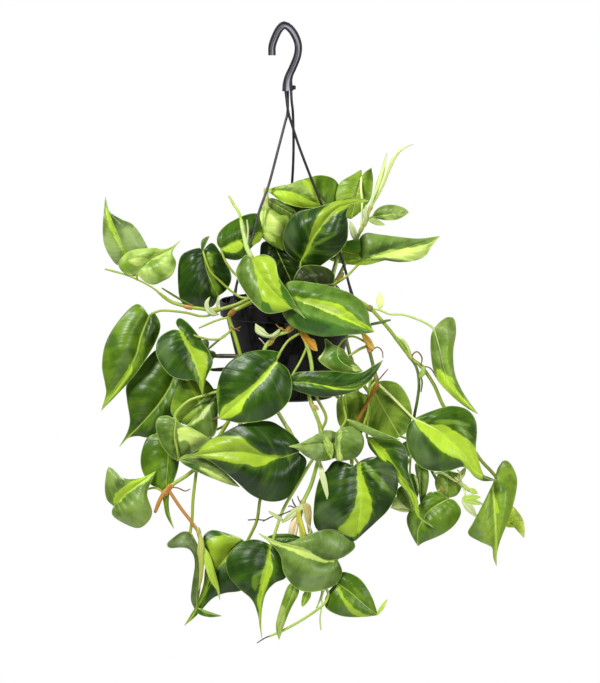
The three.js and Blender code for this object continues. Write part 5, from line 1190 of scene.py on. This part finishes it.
leafy_stem("stem_top_centre", root=(-10, 2), bars=[
    dict(radius=2, tone="cord", line="279,290,-2 277,265,-4 272,240,-6 267,215,-8 265.5,192,-9"),
    dict(radius=2.7, tone="pale", line="266,212,-8 266,188,-9"),
], leaves=[
    dict(base="266.5,190,-9", tip="327,205,-5", rib="290,192 310,201",
         left="273,195 281,201 292,205.5 305,207.5 318,207.5",
         right="280,186 290,184 300,180 308,181 314,188 320,197", lean=(-0.1, 0.1), tone="soft",
         lime=["268,189 282,190 296,193 308,198 318,207 305,208 292,206 281,201 273,195",
               "302,181 309,181 315,189 321,197 327,205 319,204 311,194"],
         grey_sheen=["284,188 298,184 306,191 314,201 302,196"]),
    dict(base="318,228,15", tip="286,190,9", left="306,232 294,222 286,206",
         right="334,222 343,205 337,182 324,175.5 311,177 297,182", lean=(0, 0.05),
         stalk="272,240,-6 290,245,4 305,240,11", tone="meadow", olive=["306,178 316,177 312,186 304,184"]),
    dict(base="266,206,-10", tip="284,251,-18", rib="264,222 272,238",
         left="272,210 280,215 288,216 290,222 286,232 285,242",
         right="260,209 257.5,220 259,232 265,240 274,246", lean=(0.1, 0.2), tone="soft",
         pale=["259,214 266,212 276,220 284,228 280,236 272,232 262,228",
               "263,234 271,234 276,241 268,241"], olive=["276,240 284,238 284,249 278,247"]),
    dict(base="266,199,-8.5", tip="297,217,-10", left="270,208 280,215 290,220",
         right="273,198 284,203 294,210", tone="moss", grey_sheen=["272,198 282,203 294,210 284,208"]),
    dict(base="272.5,241,-6.3", tip="298,296,-10", left="262,243 260,256 262,270 276,290",
         right="282,246 294,252 302,264 303,282", tone="dark"),
])

leafy_stem("stem_top_right", root=(24, -6), bars=[
    dict(radius=1.9, tone="shoot",
         line="314,300,-10 323,291,-16 333,285,-21 342,270,-14 349,254,-4 356,240,-3 361,230,-4 "
              "366,222,-5"),
    dict(radius=1.7, tone="pale", line="364,226,-5 371,206,-6 376,190,-6 380,175,-6"),
    dict(radius=1.8, tone="pale", line="333,287,-22 333.3,276,-23.5 336,265,-22 340.5,251,-16"),
    dict(radius=0.7, tone="root", line="334,284,-21 338,287,-23 341,292,-23"),
    dict(radius=0.6, tone="bark", line="335,281,-21 340,276,-23 344,278,-23"),
    dict(radius=0.7, tone="bark", line="335,283,-21 337,289,-23 336,293,-23"),
], leaves=[
    dict(base="371,208,-6.5", tip="387,152,-6", left="378.5,190 383.5,175 386,162",
         right="373,195 379,176 384,160", lean=(0.5, 0), tone="blanched", camber=0.08, bow=0.02,
         stalk_radius=0),
    dict(base="372,207,-7.5", tip="413,144,-7", rib="382,186 389,168 398,153",
         left="382,190 389,173 395,160 402,150", right="379,190 385,174 391,160 400,149", lean=(0.4, 0),
         tone="blanched", camber=0.08, bow=0.02, stalk_radius=0),
    dict(base="356,241,-4", tip="350,221,-3", spindle=3.4, tone="cream"),
    dict(base="365,224,-6", tip="366,204,-7", spindle=2, tone="cream"),
    dict(base="372,217,-8", tip="409,212.5,-12", left="380,219 390,220.5 401,218",
         right="376,210 384,205.5 394,205 404,208", lean=(-0.2, 0.2), stalk="366,222,-5 369,219,-7",
         tone="silver", pale=["378,216 390,213 402,211 392,215", "384,219 396,218 400,216 390,221"]),
    dict(base="368,219,-7", tip="385,225,-9", spindle=3, tone="pale"),
    dict(base="361.5,177,8", tip="351,219,5",
         left="365,172 370.8,168.2 371.3,168.4 373,181 371,197 365,207 358,214",
         right="361.4,170.2 360.8,169.8 350,176 341,181.5 337,190 336,200 340,210 345,217", lean=(0.15, 0),
         stalk="361,229,-4 362,215,-5 362,200,-4 361,188,1", tone="pasture",
         olive=["360,182 366,178 371,184 370,198 362,208 360,196"], camber=0.1, bow=0.04,
         stalk_tone="blanched"),
    dict(base="301,262,-34", tip="369,201,-32", rib="308,247 320,228 338,208",
         left="303,268 311,270 320,266 330,259 340,251 347,240 348,225 347,212 354,204",
         right="294,259 286,251 283,240 286,226 296,213 312,208.5 328,204 344,198.5 358,198",
         lean=(0.1, 0.2), stalk="323,291,-16 308,286,-27 301,273,-33", tone="deep", bright=0,
         lime=["301,261 306,250 309,238 313,225 320,212 332,203 345,199.5 358,199 369,201 361,203 "
               "350,206.5 338,213 327,222 321,228 315,238 309,251"],
         olive=["303,258 312,245 322,239 337,233.6 326,241 316,246"],
         grey_sheen=["284,232 294,222 298,236 294,250 286,246"]),
    dict(base="363,260,-13", tip="440,236,-8", rib="380,256 400,250 420,243",
         left="372,259 385,260 400,262 413,261 425,256 432,246",
         right="360,252 359,240 366,233 380,234.5 400,237 420,238.5", lean=(-0.1, 0.15),
         stalk="332,286,-21 340,281,-31 347,276,-34 356,267,-27", tone="sage", bright=1,
         shade=["366,254 380,247 400,242 420,241 400,245 380,252"],
         pale=["370,257 380,253 392,249.6 410,248 428,244 439,237 433,247 425,256 412,260.6 398,259.6 "
               "385,258"]),
    dict(base="341,251,-8", tip="386,260,-4", left="334,257 330,260 345,264 365,265 378,262",
         right="343,243 352,240 362,240 376,250",
         stalk="333,286,-21 332.5,274,-20 335.5,262,-16 339.5,252,-12", stalk_radius=1.5, tone="soft",
         lime=["326,258 336,259.5 352,260 368,260.5 388,259 376,266 358,268 342,268"],
         green=["345,242 358,241 368,246 352,250"], bright=1),
    dict(base="333,284,-42", tip="294,286,-62", left="330,289 318,292 304,291",
         right="334,274 325,267 312,265 301,267 294,278", stalk="330,287,-20 333,286,-32", tone="umber"),
    dict(base="337,282,-21", tip="344,272,-23", spindle=2.6, tone="bark"),
])

leafy_stem("stem_right", root=(33, -12), bars=[
    dict(radius=1.9, tone="cord",
         line="325,302,-24 336,293,-38 346,293,-47 356,299,-54 370,308,-58 388,328,-60 400,344,-60 "
              "411,358,-58 422,367,-54 434,385,-50 443,405,-46 455,422,-43 466,438,-41 480,459,-39 "
              "490,470,-39 498,479,-40"),
    dict(radius=1.6, tone="moss",
         line="411,358,-58 417,369,-56 419,385,-53 417,402,-50 414,420,-46 416,440,-44 425,458,-44 "
              "434,475,-47 441,487,-51 448,499,-55"),
    dict(radius=1.1, tone="moss", line="371,324,-62 380,322,-61 390,320,-59"),
    dict(radius=1, tone="moss", line="417.5,370,-55.6 422,381,-56 421,392,-56"),
    dict(radius=1.2, tone="blanched",
         line="433,474,-47 442,473,-50 452,479,-52 461,484,-52 465,493,-52 463,500,-52"),
    dict(radius=2.7, tone="moss", line="368,306.5,-57.5 373,311,-58.3"),
    dict(radius=0.8, tone="root", line="411,358,-60 414,353,-62 418,352,-62 422,358,-61 421,365,-57"),
    dict(radius=0.7, tone="root", line="420,366,-54.5 430,368,-54 436,377,-54"),
    dict(radius=1.6, tone="pale",
         line="397,338,-60 402,339.5,-62.5 406.5,345,-62.5 409.5,352,-61.5 412,359,-59"),
    dict(radius=1.6, tone="moss", line="371,324.3,-62.3 380,322.5,-61.5 387,320.6,-60.5 390.5,320,-60"),
    dict(radius=1, tone="blanched", line="459,482,-52.5 460.5,475,-54.5 457.5,469.5,-55"),
    dict(radius=0.9, tone="blanched", line="460,479,-53.5 463.5,473.5,-55.5"),
    dict(radius=0.9, tone="blanched", line="459,481,-53 454.5,477,-55"),
    dict(radius=2, tone="pale", line="459,482,-52.5 465,486.5,-53.2 469.5,491,-53"),
], leaves=[
    dict(base="434,329,-60", tip="478,414,-54", rib="440,350 446,374 462,396",
         left="440,322 448,317 454,319 456,332 453,352 455,374 464,394",
         right="431,337 431,355 436,377 450,394 466,407", lean=(0.3, 0.3),
         stalk="370,308,-58 380,310,-59 390,314,-60 405,315,-61 424,322,-61", tone="silver",
         olive=["446,342 452,344 450,370 446,366"],
         lime=["436.6,368.3 445.6,373.8 452.4,379.2 459.2,392.9 478,414 462,403.5 449,396 440,390 "
               "437.4,379.2"], bright=1, stalk_tone="pale", stalk_radius=1.4),
    dict(base="411,358,-60", tip="395,335,-62", spindle=2.6, tone="cord"),
    dict(base="420,462,-50", tip="421,507,-50", left="427,468 429,479 426,494",
         right="415,465 417,480 419,494", stalk="416,440,-44 418,452,-48", tone="lichen"),
    dict(base="410,473,-58", tip="417,500,-60", left="416,476 419,488", right="407,480 411,490",
         stalk="416,440,-44 411,456,-52", stalk_radius=1.1, tone="green",
         pale=["414,474 418,478 419,492 416,482"]),
    dict(base="405,484,-63", tip="414,513,-62", left="413,490 417,501", right="398,489 397,497 405,506",
         stalk="416,446,-44 407,466,-56", stalk_radius=1.1, tone="meadow",
         lime=["411,486 417,498 415,511 413,500"]),
    dict(base="414,511,-58", tip="391,508,-58", left="403,512", right="405,503 397,496",
         stalk="441,489,-51 428,500,-52 419,508,-56", stalk_radius=1.1, tone="blanched"),
    dict(base="448,471,-43", tip="447,498,-43", left="458,473 462,484 457,495",
         right="440,472 435,481 438,492", stalk="453,419,-43.5 452,440,-42 450,456,-42", tone="soft"),
    dict(base="448,499,-57", tip="418,546,-57", rib="432,508 424,518 418,530",
         left="455,501 461,511 456,523 446,532 434,538 424,542",
         right="440,493 430,492 424,498 418,506 409,512 407,522 412,536", lean=(0.1, 0.15), tone="meadow",
         grey_sheen=["408,514 412,514 420,538 414,536"], rib_width=1.6),
    dict(base="462,498,-52", tip="481,497,-52", spindle=3, tone="shoot"),
    dict(base="462,499,-52", tip="483,504,-50", spindle=3, tone="shoot"),
    dict(base="462,499,-52", tip="477,517,-50", spindle=4, tone="cream"),
    dict(base="457,482,-52", tip="466,467,-50", spindle=3, tone="blanched"),
    dict(base="494.5,480,-41", tip="496.5,566,-47", rib="493,488 495,515 496,546",
         left="498,468 500,465 502,462 506.5,460.3 512.5,467 517,480 515,497 509,518 500,541 496.5,556",
         right="491,488 482,506 473,523 468.2,533.6 479,541 488,545 492.2,548 493.5,558", lean=(0.2, 0.15),
         tone="pasture", lime=["494.6,499 497,502 499,512 496.5,512"],
         grey_sheen=["470,526 478,520 486,534 478,538"], olive=["500,500 510,490 512,505 506,514"],
         rib_width=3.2),
    # Small lime leaf painted in the brightest lime: painted light that makes up for the shade of the leaf
    # in front of it.
    dict(base="504,516,-30", tip="524,538,-28", left="512,506.5 518,512 523,520 524.5,529",
         right="506,526 513,527.5 519,527 522.5,531", stalk="497,478,-39.5 504,490,-31 507,504,-29",
         stalk_radius=1.1, tone="neon"),
    dict(base="380,309,-57.5", tip="380,292,-57", spindle=3.6, tone="blanched"),
    dict(base="423,365,-54.8", tip="419.5,378.5,-55.5", left="426,369 424.5,375", right="421,370 419,375",
         tone="mellow"),
    dict(base="468,489,-53", tip="478,493.5,-53", spindle=2.8, tone="shoot"),
])

leafy_stem("stem_centre_right", root=(32, -38), bars=[
    dict(radius=1.9, tone="moss",
         line="323,302,-50 331,299,-58 338,301,-67 346,306,-73 354,316,-77 362,330,-79 367,342,-80 "
              "373,365,-80 378,386,-80"),
    dict(radius=2.8, tone="orange", line="370,352,-80 368,343,-80"),
    dict(radius=1.5, tone="cord", line="368,346,-80 360,349,-82 349,356,-84"),
    dict(radius=0.9, tone="rust", line="378,385,-80 366,405,-80 355,425,-80"),
    dict(radius=0.7, tone="root", line="371,352,-80 377,347,-82 382,351,-82 383,358,-82"),
    dict(radius=0.7, tone="root", line="377,382,-80 382,376,-81 388,369,-82"),
    dict(radius=2.1, tone="rust", line="377.5,384,-80.5 372,394,-81 364,409,-81 356,425,-81"),
    dict(radius=1.6, tone="cord", line="373,366,-80 370,384,-78 368,400,-77 367.5,416,-76.5 367,431,-76"),
], leaves=[
    dict(base="338,347,-86", tip="363,371,-88", rib="338,357 346,365",
         left="332,344 325,338 325.5,347 322,354 318,359 325,366 337,372 351,375",
         right="343,349 348,356 355,363", lean=(0.05, 0.1),
         stalk="367,343,-80 357,337.5,-83 350,336.5,-84 343,340,-85", tone="sage", camber=0.12,
         pale=["352,365 358,368 364,371 354,371", "323,340 326,344 322,356 319,358"],
         green=["330,350 340,356 344,364 334,362"]),
    dict(base="374,350,-82", tip="361,331,-82", spindle=3.4, tone="horn"),
    dict(base="414,419,-66", tip="497,480,-60", rib="440,432 463,453 477,471",
         left="407,428 407,445 415,461 428,470 448,471 464,467 475,477 484,481",
         right="420,416 432,411 450,406 466,409 475,419 477,432 476,448 479,462 485,477", lean=(0.15, 0.25),
         stalk="378,384,-80 390,395,-75 401,406,-71", tone="green", bright=0.75,
         lime=["414,418 430,424 444,425 452,429 463,436 472,444 477,452 480,464 482,479 472,474 465,468 "
               "460,460 448,455 437,447 428,438 420,429"],
         olive=["428,420.6 444,419.6 458,420.6 470,425 456,424.6 440,423.4",
                "456,427 466,431 474,439 466,436"],
         grey_sheen=["409,430 416,428 424,438 430,452 436,464 424,466 413,456 408,442"],
         shade=["420,434 430,444 440,454 432,458"], stalk_tone="blanched", stalk_radius=1.4),
    dict(base="345,396,-66", tip="350,430,-66", left="358,391 368,400 370,416 363,431",
         right="338,399 336.5,412 340,426", stalk="374,370,-80 360,377,-74 350,386,-68", tone="pasture"),
    dict(base="372,388,-68", tip="400,437,-66", left="380,381 397,383 408,397 412,414 408,430",
         right="368,399 366,414 366.5,428 374,438 387,441", lean=(0.1, 0.05),
         stalk="376,377,-80 373,382,-74", tone="olive", camber=0.02, bow=0, ripple=0.4),
    dict(base="367,437,-73", tip="434,528,-71", rib="390,464 408,488 416,506 421,518",
         left="378,438 392,439 402,443 408,456 408,470 412,484 418,500 420,513",
         right="369,447 378,458 390,473 399,483 409,495 414,508 420,519", lean=(0.1, -0.05),
         stalk="377,380,-80 370,390,-81 368,410,-81 367,428,-78", tone="green",
         lime=["366,437 378,443 386,451 391,459 398,469 404,479 411,489 417,497 419,506 420,516 427,523 "
               "434,528 424,525 416,517 414,505 408,497 401,489 396,484 395,472 391,463 382,460 375,450"]),
    dict(base="341,428,-90", tip="338,461,-90", left="352,427 362,434 364,445 358,456 348,460",
         right="336,433 335,446 334,456",
         stalk="374,369,-80 355,386,-81 342,394,-83 344,408,-86 346,419,-89", tone="sage", bright=0.4,
         pale=["339.5,428 341.6,429.5 340.3,445 342.6,460 336,461 337.6,446"]),
    dict(base="346,419,-89", tip="400,440,-86", left="358,422 378,431", right="358,429 378,438",
         lean=(0.5, 0), tone="sage"),
    dict(base="358,463,-83", tip="355,541,-84", rib="361,490 360,515",
         left="365,459 378,457 393,464 398,480 396,495 388,510 376,522 364,533",
         right="349,468 341,461 333,462 327,470 319,480 314,505 316,528 336,540", lean=(0.1, 0.25),
         stalk="368,412,-81 360,436,-82 354,454,-84", tone="deep", bright=0.35,
         lime=["357,462 361,462 362,472 366,484 370,495 372,508 370,518 364,527 355,536 345,535 338,529 "
               "346,522 352,512 356,498 357,482"],
         olive=["363,463 372,469 382,478 389,489.6 379,484 369,474"],
         grey_sheen=["320,502 332,506 342,514 338,525 322,527 317,514",
               "376,463 390,465 396,478 393,492 384,480"]),
])

leafy_stem("stem_back_left", root=(-18, 24), bars=[
    dict(radius=2, tone="cord",
         line="272,290,44 268,280,68 262,284,86 256,300,92 250,330,94 252,370,92 245,400,88 240,430,85 "
              "244,455,83"),
], leaves=[
    dict(base="207,350,74", tip="170,372,66", heart=12, lean=(0.2, 0.1),
         stalk="252,322,94 240,326,90 224,336,80", tone="green",
         lime=["205,350 198,350 186,360 172,368 188,364"]),
    dict(base="212,396,84", tip="188,414,80", heart=10, lean=(0.1, 0.2), stalk="251,375,91.5 240,378,92",
         tone="deep"),
    dict(base="252,352,108", tip="270,394,112", heart=16, lean=(0.2, 0.1), stalk="253,318,93.5 247,328,102",
         tone="fresh", lime=["241,352 247,352 258,370 266,388 254,378"]),
    dict(base="250,440,90", tip="216,463,92", heart=15, lean=(0.1, 0.1), stalk="240,426,85.5 246,430,88",
         tone="green"),
    dict(base="256,452,84", tip="284,489,78", heart=17, lean=(0.1, 0.1), stalk="243,450,83.5", tone="deep",
         lime=["260,458 266,458 276,474 283,487 270,476"]),
], front=False)

leafy_stem("stem_back_centre", root=(4, 32), bars=[
    dict(radius=2, tone="cord",
         line="293,290,52 295,280,72 298,286,88 302,310,94 308,350,94 322,380,90 342,402,84 350,422,80 "
              "351,445,78 352,466,77"),
], leaves=[
    dict(base="318,335,112", tip="342,378,114", heart=21, lean=(0.1, 0.2), stalk="303,315,94 308,324,104",
         tone="green", lime=["320,342 326,341 334,358 341,376 330,364"]),
    dict(base="296,345,112", tip="282,390,116", heart=20, lean=(0.2, 0.1), stalk="304,322,94 298,332,104",
         tone="forest"),
    dict(base="352,476,76", tip="350,520,72", heart=20, lean=(0.1, 0.1), stalk="352,462,77", tone="fresh",
         lime=["350,482 355,482 355,500 350,518 347,500"]),
    dict(base="346,436,90", tip="352,455,92", heart=9, stalk="351,424,80 347,429,86", tone="green"),
], front=False)

leafy_stem("stem_back_right", root=(26, 22), bars=[
    dict(radius=2, tone="cord",
         line="315,290,44 320,280,62 327,282,78 336,296,84 344,330,84 355,370,78 374,400,72 388,424,66 "
              "394,445,62"),
], leaves=[
    dict(base="331,345,98", tip="327,378,100", heart=10, lean=(0.1, 0.2), stalk="342,320,84 348,334,92",
         tone="deep", lime=["348,350 352,351 350,366 346,380 346,364"]),
    dict(base="388,400,56", tip="400,428,48", heart=11, stalk="374,400,72 382,397,64", tone="green"),
    dict(base="410,440,56", tip="446,458,46", heart=15, lean=(0.2, 0.1), stalk="391,432,64.5 400,436,60",
         tone="fresh", lime=["414,440 419,442 432,452 444,457 428,455"]),
    dict(base="358,396,88", tip="352,422,92", heart=12, stalk="352,360,79.5 357,380,86", tone="green"),
], front=False)

# Floor: a plain white studio floor, a round sheet 2.6 m below the hook as under a ceiling. It belongs to
# the stage and not to the plant.
FLOOR_RADIUS, FLOOR_HEIGHT, FLOOR_SIDES = 2.4, -2.6, 96
form = bmesh.new()
bmesh.ops.create_circle(form, cap_ends=True, segments=FLOOR_SIDES, radius=FLOOR_RADIUS)
bmesh.ops.translate(form, verts=form.verts, vec=(0, 0, FLOOR_HEIGHT))
floor_mesh = set_down(form, "floor")
floor = bpy.data.objects.new("floor", floor_mesh)
scene.collection.objects.link(floor)
pale_floor = Paint("pale_floor", Roughness=0.9, Emission_Color=(1, 1, 1, 1), Emission_Strength=0.3)
cloudy = pale_floor.noise(pale_floor.place(), 1.5, 2)
floor_mesh.materials.append(pale_floor.finish(
    Base_Color=pale_floor.mix(cloudy, linear((250, 250, 250)), linear((244, 244, 244)))))
